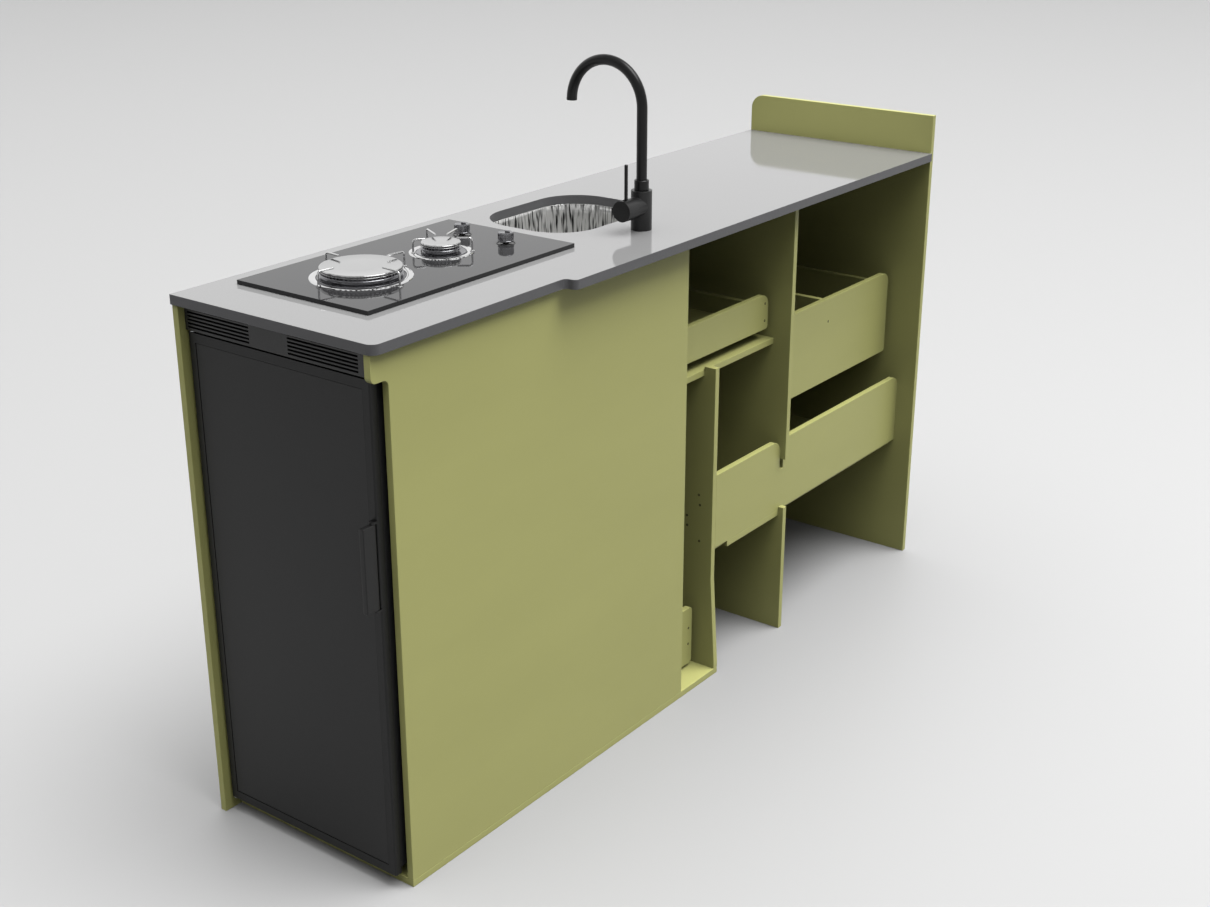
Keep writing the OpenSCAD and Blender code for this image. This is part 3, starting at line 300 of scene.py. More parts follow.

# %% [markdown]
# ## Metals, glass, plastics and rubber
# The rest share one recipe, with typical values for what each really is. Graphite powder coat on the
# fridge has a fine pebble. The tap's black coat is smoother. Chrome and mirror steel are metals with
# almost no roughness, and brushed steel has its grain drawn out along one axis. The sink's walls show
# the streaks that drawn steel mirrors, and a function paints them into its colour as a painted
# reflection. Mouldings are glossy white or satin black, and the gasket is dull rubber.

# %% Other finishes
def painted_reflection_streaks(tree):
    """Painted reflection: dark upright streaks on steep faces, for what a drawn wall mirrors and its level
    bottom does not.
    """
    painted_reflection = ramp(tree, noise(tree, 4, 1.0, (1, 1, 0.1)).outputs["Fac"], 0.48, 0.64)
    normal = add(tree, "ShaderNodeNewGeometry").outputs["True Normal"]
    level = calculate(tree, "ABSOLUTE", add(tree, "ShaderNodeSeparateXYZ", {0: normal}).outputs["Z"])
    return calculate(tree, "MULTIPLY", painted_reflection, ramp(tree, level, 0.7, 0.3))


graphite_coat = finish("graphite_powder_coat_on_steel", "#1C1C1C", 0.46, tone=(300, 0.03), grain=(1.6, 0.03),
                       **{"Specular IOR Level": 0.35})
handle_coat = finish("graphite_moulded_abs", "#3A3A3B", 0.38, tone=(90, 0.03), grain=(1.4, 0.02), IOR=1.53)
tap_coat = finish("satin_black_pvd_on_brass", "#0D0D0D", 0.30, tone=(40, 0.05), grain=(1.5, 0.004),
                  rough_spread=0.03, **{"Specular IOR Level": 0.35})
black_steel = finish("black_enamel_on_steel", "#141414", 0.35, tone=(150, 0.05), grain=(2.5, 0.02))
black_moulding = finish("satin_black_abs", "#151515", 0.45, tone=(60, 0.05), grain=(1.2, 0.02), IOR=1.53)
white_moulding = finish("white_abs_liner", "#E6E6E2", 0.30, tone=(200, 0.02), grain=(4, 0.02), IOR=1.53)
gasket_rubber = finish("grey_pvc_gasket", "#2B2B2C", 0.65, tone=(40, 0.05), grain=(1.5, 0.04), IOR=1.52)
mirror_steel = finish("mirror_polished_stainless_steel", "#D2D2D0", 0.045, tone=(80, 0.02),
                      grain=(22, 0.05), metallic=1.0, rough_spread=0.015)
drawn_steel = finish("deep_drawn_polished_stainless_steel", "#DCDCDA", 0.14, tone=(30, 0.1), grain=(8, 0.3),
                     stretch=(1, 1, 0.06), metallic=0.5, rough_spread=0.02)
# Painted reflection: dark streaks #242424 laid into the bowl's colour on its steep walls.
overlay(drawn_steel, "#242424", painted_reflection_streaks)
brushed_steel = finish("brushed_stainless_steel", "#B9B9B6", 0.28, tone=(60, 0.04), grain=(0.8, 0.006),
                       stretch=(0.04, 1, 1), metallic=1.0)
zinc_steel = finish("zinc_plated_steel", "#A9ABAE", 0.36, tone=(9, 0.08), grain=(5, 0.01), metallic=1.0)
chrome = finish("polished_chrome_on_steel", "#DADADA", 0.05, tone=(60, 0.01), grain=(18, 0.002),
                metallic=1.0, rough_spread=0.02)
burner_alloy = finish("cast_burner_alloy", "#8A8A8D", 0.22, tone=(20, 0.05), grain=(2, 0.004), metallic=1.0)
cap_chrome = finish("satin_chrome_on_pressed_cap", "#BEBEBE", 0.09, tone=(60, 0.02), grain=(18, 0.002),
                    metallic=1.0, rough_spread=0.02)
dark_chrome = finish("smoked_chrome_on_zinc", "#8C8C8F", 0.24, tone=(20, 0.03), grain=(4, 0.003),
                     metallic=1.0)
hob_black = finish("smoked_tempered_glass", "#343435", 0.035, tone=(200, 0.03), grain=(90, 0.001),
                   rough_spread=0.01, IOR=1.48, **{"Specular IOR Level": 0.25})
brass = finish("nickel_plated_brass", "#6E6C68", 0.3, tone=(25, 0.06), grain=(0.9, 0.004), metallic=1.0)
aluminium = finish("rolled_aluminium", "#C2C4C6", 0.34, tone=(60, 0.04), grain=(1.2, 0.008),
                   stretch=(1, 1, 0.05), metallic=1.0)
ceramic = finish("glazed_alumina", "#E9E6DD", 0.22, tone=(6, 0.03), grain=(1, 0.005), IOR=1.76)
shelf_glass = finish("clear_float_glass", "#DCEBE6", 0.03, tone=(150, 0.02), grain=(70, 0.002),
                     rough_spread=0.01, IOR=1.52, **{"Transmission Weight": 0.92})
finishes = {
    "painted_ply": olive_paint, "worktop_stone": stone, "graphite": graphite_coat,
    "black_metal": black_steel, "black_plastic": black_moulding, "white_plastic": white_moulding,
    "rubber": gasket_rubber, "mirror_steel": mirror_steel, "brushed_steel": brushed_steel,
    "zinc_steel": zinc_steel, "chrome": chrome, "hob_glass": hob_black, "clear_glass": shelf_glass,
    "brass": brass, "aluminium": aluminium, "ceramic": ceramic, "door_plastic": handle_coat,
}
print(len(finishes), "finishes by slot")

# %% [markdown]
# ## Dress the construction model
# Every solid of the construction model keeps its place. Its record says which finish each one has, so a
# loop hands them out. Pieces that need a better shape than the solid replace it further on.

# %% Finishes on the solids
slot_of = {part["node"]: part["material_slot"] for part in frame["record"]["subparts"]}
for node_name, solid in nodes.items():
    solid.data.materials.clear()
    solid.data.materials.append(finishes[slot_of[node_name]])
print("dressed", len(nodes), "solids")

# %% [markdown]
# ## Softened copies
# A real panel has no perfectly sharp edge: the paint rounds it by half a millimetre, and that thin
# round is what catches the light. A copy of each solid is welded, its flat faces are joined, and a
# Bevel modifier rounds every sharp edge. A Weighted Normal modifier then lets the big faces decide the
# shading, so that they stay flat. Both are baked into the mesh, and the copy stands for the solid.

# %% Softening
def body_of(node_name):
    """Name of the body that a node belongs to."""
    return nodes[node_name]["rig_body"]


def smooth(mesh, angle=32):
    """Shade a mesh smooth, apart from the edges sharper than an angle."""
    for polygon in mesh.polygons:
        polygon.use_smooth = True
    mesh.set_sharp_from_angle(angle=math.radians(angle))
    return mesh


def place(name, mesh, finish_used, body, covers=()):
    """A finished mesh as a piece that rides on a body and stands for the solids that it covers."""
    mesh.materials.clear()
    mesh.materials.append(finish_used)
    made = bpy.data.objects.new(name, mesh)
    bpy.context.scene.collection.objects.link(made)
    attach(made, body)
    if covers:
        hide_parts(*covers)
    return made


def holder_of(name, mesh):
    """An object that carries a mesh while its modifiers work."""
    holder = bpy.data.objects.new(name, mesh)
    bpy.context.scene.collection.objects.link(holder)
    return holder


def baked(holder):
    """The evaluated mesh of an object whose modifiers are done; the object itself is removed."""
    bpy.context.view_layer.update()
    graph = bpy.context.evaluated_depsgraph_get()
    mesh = bpy.data.meshes.new_from_object(holder.evaluated_get(graph), depsgraph=graph)
    source = holder.data
    bpy.data.objects.remove(holder)
    bpy.data.meshes.remove(source)
    return mesh


def rounded(mesh, width_mm, segments=2, angle=32):
    """The mesh with its sharp edges rounded and its flat faces shaded flat."""
    smooth(mesh, 180)
    holder = holder_of("rounding", mesh)
    bevel = holder.modifiers.new("round", "BEVEL")
    bevel.width = width_mm * MM
    bevel.segments = segments
    bevel.limit_method = "ANGLE"
    bevel.angle_limit = math.radians(angle)
    bevel.use_clamp_overlap = True
    flat = holder.modifiers.new("flat", "WEIGHTED_NORMAL")
    flat.keep_sharp = True
    return baked(holder)


def welded_copy(node_name):
    """A copy of a solid's mesh, with its triangles joined into flat faces."""
    mesh = nodes[node_name].data.copy()
    if "custom_normal" in mesh.attributes:
        mesh.attributes.remove(mesh.attributes["custom_normal"])
    work = bmesh.new()
    work.from_mesh(mesh)
    bmesh.ops.remove_doubles(work, verts=work.verts, dist=0.005 * MM)
    bmesh.ops.dissolve_limit(work, angle_limit=math.radians(0.5), verts=work.verts, edges=work.edges)
    work.to_mesh(mesh)
    work.free()
    return mesh


def soften(node_name, width_mm, segments=2):
    """Put a softened copy in a solid's place."""
    return place(node_name + "_soft", rounded(welded_copy(node_name), width_mm, segments),
                 finishes[slot_of[node_name]], body_of(node_name), [node_name])


ply_parts = [name for name, slot in slot_of.items() if slot == "painted_ply"]
for node_name in ply_parts:
    soften(node_name, 0.7)
soften("worktop", 0.9, 3)
soft_widths = {"door_frame": 1.2, "door_panel": 0.5, "door_core": 2.0, "door_gasket": 1.5, "door_rack": 0.8,
               "vent_grille": 0.35, "latch_lever": 1.6, "hob_glass": 0.8, "fridge_cabinet": 1.0,
               "hob_tray": 0.4, "fridge_liner": 1.2, "tap_body": 0.6, "tap_cap": 0.6, "compressor": 1.5,
               "cabinet_runners": 0.25, "left_drawer_runners": 0.25, "right_drawer_runners": 0.25,
               "narrow_drawer_runners": 0.25, "worktop_brackets": 0.3, "hinge_brackets": 0.4}
for node_name, width in soft_widths.items():
    soften(node_name, width)
print("softened", len(ply_parts), "boards and", 1 + len(soft_widths), "other pieces")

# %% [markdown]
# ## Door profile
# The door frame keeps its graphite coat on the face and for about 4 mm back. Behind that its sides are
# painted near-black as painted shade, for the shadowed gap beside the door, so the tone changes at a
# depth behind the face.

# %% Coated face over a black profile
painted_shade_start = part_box("door_frame")[0][0] + 4 * MM
shaded_frame_coat = graphite_coat.copy()
shaded_frame_coat.name = "graphite_coat_lapped_over_black_profile"


def painted_shade_behind_face(tree):
    """A share that is 0 on the door's face and rises to 1 between 4 and 5 mm behind it, where painted shade
    starts on the frame's sides.
    """
    spot = add(tree, "ShaderNodeTexCoord").outputs["Object"]
    depth = add(tree, "ShaderNodeSeparateXYZ", {0: spot}).outputs["X"]
    return ramp(tree, depth, painted_shade_start, painted_shade_start + MM)


# Painted shade: the frame's sides behind the face are painted near-black #050505.
overlay(shaded_frame_coat, "#050505", painted_shade_behind_face)
bpy.data.objects["door_frame_soft"].data.materials[0] = shaded_frame_coat
print(shaded_frame_coat.name)

# %% [markdown]
# ## Turned shapes
# Burners, knobs, the waste and the tap's rings are all turned or pressed round an axis. They could be
# modelled with the Screw modifier, but a short function that spins an outline gives the same closed
# mesh, with its poles shut. The outline is a list of radius and height, read from the bottom up.

# %% Spin an outline
def turned(outline, centre, steps=96, angle=30):
    """A closed mesh spun from (radius, height) points in mm round a vertical axis through a centre in mm."""
    work = bmesh.new()
    rings = []
    for radius, height in outline:
        if radius == 0:
            rings.append([work.verts.new((centre[0] * MM, centre[1] * MM, height * MM))])
            continue
        turns = [2 * math.pi * k / steps for k in range(steps)]
        rings.append([work.verts.new(((centre[0] + radius * math.cos(t)) * MM,
                                      (centre[1] + radius * math.sin(t)) * MM, height * MM)) for t in turns])
    pairs = list(zip(rings, rings[1:]))
    if len(rings[0]) > 1 or len(rings[-1]) > 1:
        pairs.append((rings[-1], rings[0]))
    for low, high in pairs:
        for k in range(steps):
            corners = [low[k % len(low)], low[(k + 1) % len(low)],
                       high[(k + 1) % len(high)], high[k % len(high)]]
            corners = list(dict.fromkeys(corners))
            if len(corners) > 2:
                work.faces.new(corners)
    bmesh.ops.recalc_face_normals(work, faces=work.faces)
    mesh = bpy.data.meshes.new("turned")
    work.to_mesh(mesh)
    work.free()
    return smooth(mesh, angle)


def joined(meshes, angle=30):
    """Several meshes as one."""
    work = bmesh.new()
    for mesh in meshes:
        work.from_mesh(mesh)
        bpy.data.meshes.remove(mesh)
    together = bpy.data.meshes.new("joined")
    work.to_mesh(together)
    work.free()
    return smooth(together, angle)


def arc(centre, radius, start, end, steps):
    """Points of a rounded corner in an outline, between two angles in degrees."""
    turns = [math.radians(start + (end - start) * k / steps) for k in range(steps + 1)]
    return [(centre[0] + radius * math.cos(t), centre[1] + radius * math.sin(t)) for t in turns]


def in_mm(node_name):
    """Lowest and highest corner of a node, in mm."""
    return [[v / MM for v in corner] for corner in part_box(node_name)]


def middle_of(node_name):
    """Middle of a node as seen from above, in mm."""
    low, high = in_mm(node_name)
    return (low[0] + high[0]) / 2, (low[1] + high[1]) / 2


print("turning ready")

# %% [markdown]
# ## Things that repeat or follow a path
# Flame ports, grille slats, wires and screw heads all follow a rule, so Geometry Nodes make them. Each
# tree has named inputs for its sizes. The result is turned into a plain mesh, and the modifier goes
# away with the object that held it.

# %% Geometry Nodes helpers
KINDS = {int: "NodeSocketInt", float: "NodeSocketFloat", tuple: "NodeSocketVector",
         bpy.types.Object: "NodeSocketObject", bpy.types.Material: "NodeSocketMaterial"}


def new_tree(title, inputs):
    """A Geometry Nodes tree with a geometry input and one named input for each size."""
    tree = bpy.data.node_groups.new(title, "GeometryNodeTree")
    tree.interface.new_socket("Geometry", in_out="INPUT", socket_type="NodeSocketGeometry")
    for label, kind in inputs.items():
        tree.interface.new_socket(label, in_out="INPUT", socket_type=KINDS[kind])
    tree.interface.new_socket("Geometry", in_out="OUTPUT", socket_type="NodeSocketGeometry")
    return tree, add(tree, "NodeGroupInput").outputs


def end_tree(tree, geometry, finish_socket):
    """Close a tree: instances become real, and the finish is set."""
    real = add(tree, "GeometryNodeRealizeInstances", {"Geometry": geometry}).outputs[0]
    dressed = add(tree, "GeometryNodeSetMaterial", {"Geometry": real, "Material": finish_socket}).outputs[0]
    add(tree, "NodeGroupOutput", {"Geometry": dressed})


def grown(tree, sizes, mesh=None, angle=30):
    """The plain mesh that a tree makes from its named inputs."""
    holder = holder_of("growing", mesh or bpy.data.meshes.new("start"))
    modifier = holder.modifiers.new("grow", "NODES")
    modifier.node_group = tree
    for item in tree.interface.items_tree:
        if item.in_out == "INPUT" and item.name in sizes:
            modifier[item.identifier] = sizes[item.name]
    return smooth(baked(holder), angle)


print("trees ready")

# %% [markdown]
# ## A ring of ports
# The flame comes out between small teeth under each burner cap. The tree puts blocks on a circle and
# turns each one to face outwards by its own number.

# %% Tree for a ring of blocks
ring_tree, given = new_tree("ring_of_teeth", {"Count": int, "Radius": float, "Tooth": tuple,
                                              "Place": tuple, "Finish": bpy.types.Material})
circle = add(ring_tree, "GeometryNodeMeshCircle", {"Vertices": given["Count"], "Radius": given["Radius"]})
number = add(ring_tree, "GeometryNodeInputIndex").outputs[0]
share = calculate(ring_tree, "DIVIDE", number, given["Count"])
turn = calculate(ring_tree, "MULTIPLY", share, 2 * math.pi)
facing = add(ring_tree, "ShaderNodeCombineXYZ", {"Z": turn}).outputs[0]
tooth = add(ring_tree, "GeometryNodeMeshCube", {"Size": given["Tooth"]}).outputs["Mesh"]
teeth = add(ring_tree, "GeometryNodeInstanceOnPoints", {"Points": circle.outputs["Mesh"], "Instance": tooth,
                                                        "Rotation": facing}).outputs[0]
moved = add(ring_tree, "GeometryNodeTransform", {"Geometry": teeth, "Translation": given["Place"]})
end_tree(ring_tree, moved.outputs[0], given["Finish"])
print(ring_tree.name)

# %% [markdown]
# ## Burners
# Each burner is a dished steel flange, a cast head with its ring of ports, and a pressed cap that lies on
# the head. All are turned shapes. The cap's top is flat and bright with a narrow rounded rim. The ports
# below it are drawn in, and so is the head's foot, which leaves the two dark lines that make a burner
# readable.

# %% Burner heads, caps and trim rings
hob_low, hob_high = in_mm("hob_glass")
glass_z = hob_high[2]
hob_y = (hob_low[1] + hob_high[1]) / 2
# Middle along the glass, cap radius, ring radius and number of ports
burner_sizes = {"large": (hob_low[0] + 127, 64, 80, 54), "small": (hob_low[0] + 308, 32, 52, 30)}
ring_w, ring_t, head_h, port_foot = 10.8, 1.6, 12.5, 9.4
bases, teeth, caps, rings = [], [], [], []
for burner_x, cap_r, ring_r, port_count in burner_sizes.values():
    centre = (burner_x, hob_y)
    cap_z = glass_z + head_h
    flange_r = ring_r - ring_w - 1
    bases.append(turned([
        (0, glass_z - 30), (12, glass_z - 30), (12, glass_z - 20), (cap_r * 0.6, glass_z - 12),
        (cap_r * 0.6, glass_z), (flange_r - 1, glass_z), (flange_r, glass_z + 0.6),
        (flange_r - 0.4, glass_z + 1.2), (cap_r - 5, glass_z + 1.2), (cap_r - 6, glass_z + 2),
        (cap_r - 6, glass_z + 4.2), (cap_r - 1, glass_z + 4.6), (cap_r + 0.2, glass_z + 5.4),
        (cap_r + 0.2, glass_z + 8.4), (cap_r - 0.8, glass_z + 9.2), (cap_r - 5, glass_z + 9.4),
        (cap_r - 7, glass_z + 9.8), (cap_r - 7, cap_z), (0, cap_z)], centre, 128))
    port_h = head_h - port_foot
    teeth.append(grown(ring_tree, {
        "Count": port_count, "Radius": (cap_r - 5.4) * MM, "Tooth": (5 * MM, 3.4 * MM, port_h * MM),
        "Place": Vector((burner_x, hob_y, glass_z + port_foot + port_h / 2)) * MM, "Finish": burner_alloy}))
    rim = arc((cap_r - 1.6, cap_z + 3.6), 1.6, -10, 80, 6)
    caps.append(turned([
        (0, cap_z), (cap_r - 1.4, cap_z), (cap_r - 0.3, cap_z + 0.5), (cap_r, cap_z + 1.2)] + rim + [
        (cap_r - 3, cap_z + 5), (cap_r - 4, cap_z + 4.8), (cap_r * 0.5, cap_z + 5.2), (0, cap_z + 5.3)],
        centre, 160, 40))
    inner_r = ring_r - ring_w
    rings.append(turned([
        (inner_r, glass_z), (ring_r, glass_z), (ring_r - 0.3, glass_z + 0.8),
        (ring_r - 2.4, glass_z + ring_t), (inner_r + 2.4, glass_z + ring_t), (inner_r + 0.3, glass_z + 0.8)],
        centre, 160))
place("burner_heads", joined(bases + teeth), burner_alloy, "carcass", ["burner_bases"])
place("pressed_caps", joined(caps, 40), cap_chrome, "carcass", ["burner_caps"])
place("trim_rings", joined(rings), chrome, "carcass", ["burner_trims"])
print("burners at", [round(sizes[0]) for sizes in burner_sizes.values()],
      "with caps of radius", [sizes[1] for sizes in burner_sizes.values()])

# %% [markdown]
# ## Wires and tubes
# The pan supports are bent from chromed wire, and the spout from black tube. A sweep along a curve is
# what the bending machine does, so one tree does the same for both: it rounds the corners of a path and
# runs a circle along it.

# %% Tree for a bent rod
rod_tree, given = new_tree("bent_rod", {"Radius": float, "Bend": float, "Sides": int, "Bend Steps": int,
                                        "Finish": bpy.types.Material})
path = add(rod_tree, "GeometryNodeMeshToCurve", {"Mesh": given["Geometry"]}).outputs[0]
bent = add(rod_tree, "GeometryNodeFilletCurve", {"Curve": path, "Radius": given["Bend"],
                                                 "Count": given["Bend Steps"], "Limit Radius": True},
           mode="POLY").outputs[0]
section = add(rod_tree, "GeometryNodeCurvePrimitiveCircle", {"Resolution": given["Sides"],
                                                             "Radius": given["Radius"]}).outputs["Curve"]
swept = add(rod_tree, "GeometryNodeCurveToMesh", {"Curve": bent, "Profile Curve": section,
                                                  "Fill Caps": True}).outputs[0]
end_tree(rod_tree, swept, given["Finish"])


def paths_mesh(paths):
    """A mesh of bare edges along some paths, in mm."""
    points, edges = [], []
    for path_points in paths:
        first = len(points)
        points += [[v * MM for v in point] for point in path_points]
        edges += [(first + k, first + k + 1) for k in range(len(path_points) - 1)]
    mesh = bpy.data.meshes.new("paths")
    mesh.from_pydata(points, edges, [])
    return mesh


print(rod_tree.name)

# %% [markdown]
# ## Pan supports and igniters
# Every finger is one wire: a small eye on the glass, an upright and an arm over the burner's edge. The
# bend between them has a radius of about twice the wire. Ceramic igniter pins stand beside each head.

# %% Wire fingers
wire_r, support_h = 1.6, 24.5
# Burner, direction in degrees, and how far the foot stands outside the trim ring
finger_places = [("large", 172, 0), ("large", 265, 8), ("large", 352, 4), ("large", 84, 4),
                 ("small", 142, -7), ("small", 307, -2), ("small", 62, 14), ("small", 18, 14)]
wires, feet = [], []
for which, angle, outside in finger_places:
    burner_x, cap_r, ring_r = burner_sizes[which][:3]
    away = Vector((math.cos(math.radians(angle)), math.sin(math.radians(angle)), 0))
    middle = Vector((burner_x, hob_y, 0))
    far = ring_r + outside
    foot = middle + away * far
    base_z = glass_z + (ring_t if far - 4 < ring_r else 0)
    arm_z = glass_z + support_h - wire_r
    wires.append([foot + Vector((0, 0, base_z + 0.4)), foot + Vector((0, 0, arm_z)),
                  middle + away * cap_r * 0.8 + Vector((0, 0, arm_z))])
    feet.append(turned([(0, base_z), (3.8, base_z), (3.8, base_z + 0.8), (3.2, base_z + 1.2),
                        (1.8, base_z + 1.4), (1.8, base_z + 2.4), (0, base_z + 2.4)], foot, 24))
wire_mesh = grown(rod_tree, {"Radius": wire_r * MM, "Bend": 5 * MM, "Sides": 16, "Bend Steps": 8,
                             "Finish": chrome}, paths_mesh(wires), 50)
place("wire_supports", joined([wire_mesh] + feet, 50), chrome, "carcass", ["pan_supports"])
pins = []
for burner_x, cap_r in [sizes[:2] for sizes in burner_sizes.values()]:
    for angle in (40, 110):
        spot = (burner_x + (cap_r + 2.2) * math.cos(math.radians(angle)),
                hob_y + (cap_r + 2.2) * math.sin(math.radians(angle)))
        pins.append(turned([(0, glass_z + 1.5), (1.1, glass_z + 1.5), (1.1, glass_z + 8.6),
                            (0.5, glass_z + 9.2), (0.3, glass_z + 10.4), (0, glass_z + 10.4)], spot, 20))
place("igniter_pins", joined(pins), ceramic, "carcass", ["igniters"])
print(len(wires), "fingers,", len(pins), "igniters")

# %% [markdown]
# ## Knobs
# A knob is a zinc casting with smoked chrome plating: a narrow skirt, a slightly tapered grip with fine
# flutes and a shallow dished top with a raised pointer. The flutes repeat round the grip, so the ring
# tree makes them. A thin bezel on the glass rings each knob, wide enough for the knob to be pushed down
# inside it.

# %% Knobs
knob_r = 13.5
bezels = []
for side in ("front", "rear"):
    node_name = side + "_knob"
    centre = middle_of(node_name)
    z = in_mm(node_name)[0][2]
    body = turned([
        (3.2, z), (knob_r - 0.8, z), (knob_r, z + 0.8), (knob_r, z + 2.2), (knob_r - 0.4, z + 2.6),
        (knob_r - 0.9, z + 14), (knob_r - 1.6, z + 15.2), (knob_r - 2.6, z + 15.6), (knob_r - 4, z + 15.2),
        (0, z + 14.8), (0, z + 13.6), (3.2, z + 13.6)], centre, 96)
    flutes = grown(ring_tree, {
        "Count": 36, "Radius": (knob_r - 0.9) * MM, "Tooth": (0.9 * MM, 1.0 * MM, 9 * MM),
        "Place": Vector((*centre, z + 9)) * MM, "Finish": dark_chrome})
    pointer = bpy.data.meshes.new("pointer")
    work = bmesh.new()
    bmesh.ops.create_cube(work, size=1, matrix=Matrix.Translation(
        Vector((centre[0], centre[1] - 3.6, z + 16)) * MM) @ Matrix.Diagonal((2 * MM, 10 * MM, 3 * MM, 1)))
    bmesh.ops.bevel(work, geom=work.edges, offset=0.6 * MM, segments=2, affect="EDGES")
    work.to_mesh(pointer)
    work.free()
    knob = joined([body, flutes, pointer])
    place(node_name + "_turned", knob, dark_chrome, side + "_dial", [node_name])
    bezels.append(turned([(knob_r + 0.5, glass_z), (knob_r + 2.4, glass_z), (knob_r + 2, glass_z + 0.7),
                          (knob_r + 0.6, glass_z + 0.7)], centre))
place("knob_bezels", joined(bezels), black_moulding, "carcass")
print("two knobs of radius", knob_r, "mm")

# %% [markdown]
# ## Sink bowl
# The bowl is drawn from one sheet of steel. Its outline is a rounded rectangle that keeps its shape all
# the way down, with a slight draft, a wide fillet into the bottom and a shallow fall to the waste. Rings
# of points at rising depth are joined into a skin, and a Solidify modifier gives the sheet its thickness.

# %% Sink bowl
sheet_t, sink_len, sink_wid, sink_r, sink_depth, fillet = 1.2, 276, 213, 80, 125, 28
under_top = in_mm("rear_panel")[1][2]
draft = 0.05
bowl_low, bowl_high = in_mm("sink_bowl")
sink_x, sink_y = middle_of("sink_bowl")
waste_x = middle_of("sink_waste")[0]
flange = (bowl_high[0] - bowl_low[0] - sink_len) / 2


def bowl_ring(inset, z, steps=20):
    """Points of the bowl's outline, drawn in by an inset, at a height."""
    radius = sink_r - inset
    half = (sink_len / 2 - sink_r, sink_wid / 2 - sink_r)
    ring = []
    for quarter, (sx, sy) in enumerate([(1, 1), (-1, 1), (-1, -1), (1, -1)]):
        for k in range(steps + 1):
            t = math.radians(90 * quarter + 90 * k / steps)
            ring.append(Vector((sink_x + sx * half[0] + radius * math.cos(t),
                                sink_y + sy * half[1] + radius * math.sin(t), z)))
    return ring


levels = [(-flange, under_top), (-2.5, under_top), (-0.8, under_top - 0.4), (0, under_top - 1.6)]
levels += [(draft * d, under_top - d) for d in (20, 45, 70)]
floor_edge = under_top - sink_depth
straight_h = sink_depth - fillet
levels += [(draft * straight_h + fillet * (1 - math.cos(t)), floor_edge + fillet * (1 - math.sin(t)))
           for t in [math.radians(90 * k / 10) for k in range(11)]]
rings = [bowl_ring(inset, z) for inset, z in levels]
around = len(rings[0])
hole_r = 21.5
for share in (0.35, 0.7, 1.0):
    ring = []
    for point in rings[len(levels) - 1]:
        outwards = (point - Vector((waste_x, sink_y, point.z))).normalized()
        edge = Vector((waste_x, sink_y, floor_edge)) + outwards * hole_r
        ring.append(point.lerp(edge, share))
    rings.append(ring)
work = bmesh.new()
skins = [[work.verts.new(point * MM) for point in ring] for ring in rings]
for outer, inner in zip(skins, skins[1:]):
    for k in range(around):
        work.faces.new((outer[k], outer[(k + 1) % around], inner[(k + 1) % around], inner[k]))
bmesh.ops.recalc_face_normals(work, faces=work.faces)
if sum(face.normal.z for face in work.faces) < 0:
    bmesh.ops.reverse_faces(work, faces=work.faces)
bowl = bpy.data.meshes.new("bowl")
work.to_mesh(bowl)
work.free()
smooth(bowl, 60)
holder = holder_of("bowl", bowl)
wall = holder.modifiers.new("sheet", "SOLIDIFY")
wall.thickness = sheet_t * MM
wall.offset = -1
place("drawn_bowl", smooth(baked(holder), 60), drawn_steel, "carcass", ["sink_bowl"])
print("bowl of", around, "points round and", len(skins), "rings")

# %% [markdown]
# ## Tap
# The spout is one tube with a half-circle bend, so its path is drawn and swept. The collar at its foot
# and the outlet ring are turned. The lever is a thin pin with rounded ends.

# %% Spout, outlet and lever
spout_low, spout_high = in_mm("tap_spout")
body_low, body_high = in_mm("tap_body")
tube_d, bend_r, collar_h = 18, 74, 17
tap_x = (spout_low[0] + spout_high[0]) / 2
collar_r = (tube_d + 7) / 2
tap_y = spout_low[1] + collar_r
bend_z = spout_high[2] - bend_r - tube_d / 2
collar_z = body_high[2] + 0.4
bend = [(tap_x, tap_y + bend_r * (1 - math.cos(t)), bend_z + bend_r * math.sin(t))
        for t in [math.pi * k / 48 for k in range(49)]]
tube = grown(rod_tree, {"Radius": tube_d / 2 * MM, "Bend": 0.0, "Sides": 48, "Bend Steps": 1,
                        "Finish": tap_coat}, paths_mesh([[(tap_x, tap_y, collar_z + 2)] + bend]), 50)
shank = turned([(0, spout_low[2]), (8, spout_low[2]), (8, collar_z), (collar_r - 0.5, collar_z),
                (collar_r, collar_z + 0.5), (collar_r, collar_z + collar_h - 1),
                (collar_r - 1, collar_z + collar_h), (tube_d / 2 + 0.6, collar_z + collar_h),
                (tube_d / 2 + 0.2, collar_z + collar_h - 0.8), (0, collar_z + collar_h - 0.8)],
               (tap_x, tap_y), 64)
outlet = turned([(7.2, bend_z + 3), (7.2, bend_z - 0.2), (tube_d / 2 - 0.7, bend_z - 0.2),
                 (tube_d / 2 + 0.15, bend_z + 0.8), (tube_d / 2 + 0.15, bend_z + 4)],
                (tap_x, tap_y + 2 * bend_r), 64)
place("bent_spout", joined([tube, shank, outlet], 40), tap_coat, "spout", ["tap_spout"])
lever_low, lever_high = in_mm("tap_lever")
pin_r = (lever_high[0] - lever_low[0]) / 2
place("lever_pin", turned([(0, lever_low[2]), (pin_r * 0.7, lever_low[2] + 0.6), (pin_r, lever_low[2] + 2),
                           (pin_r, lever_high[2] - 1), (pin_r - 0.8, lever_high[2]), (0, lever_high[2])],
                          middle_of("tap_lever"), 32), tap_coat, "mixer_lever", ["tap_lever"])
print("spout bends at", round(bend_z), "mm over an outlet", round(2 * bend_r), "mm away")

# %% [markdown]
# ## Screws
# The panels are held by small black countersunk screws with a small socket. One head is modelled in
# two sizes, and a tree sets it on points, each with its own facing and a random turn.

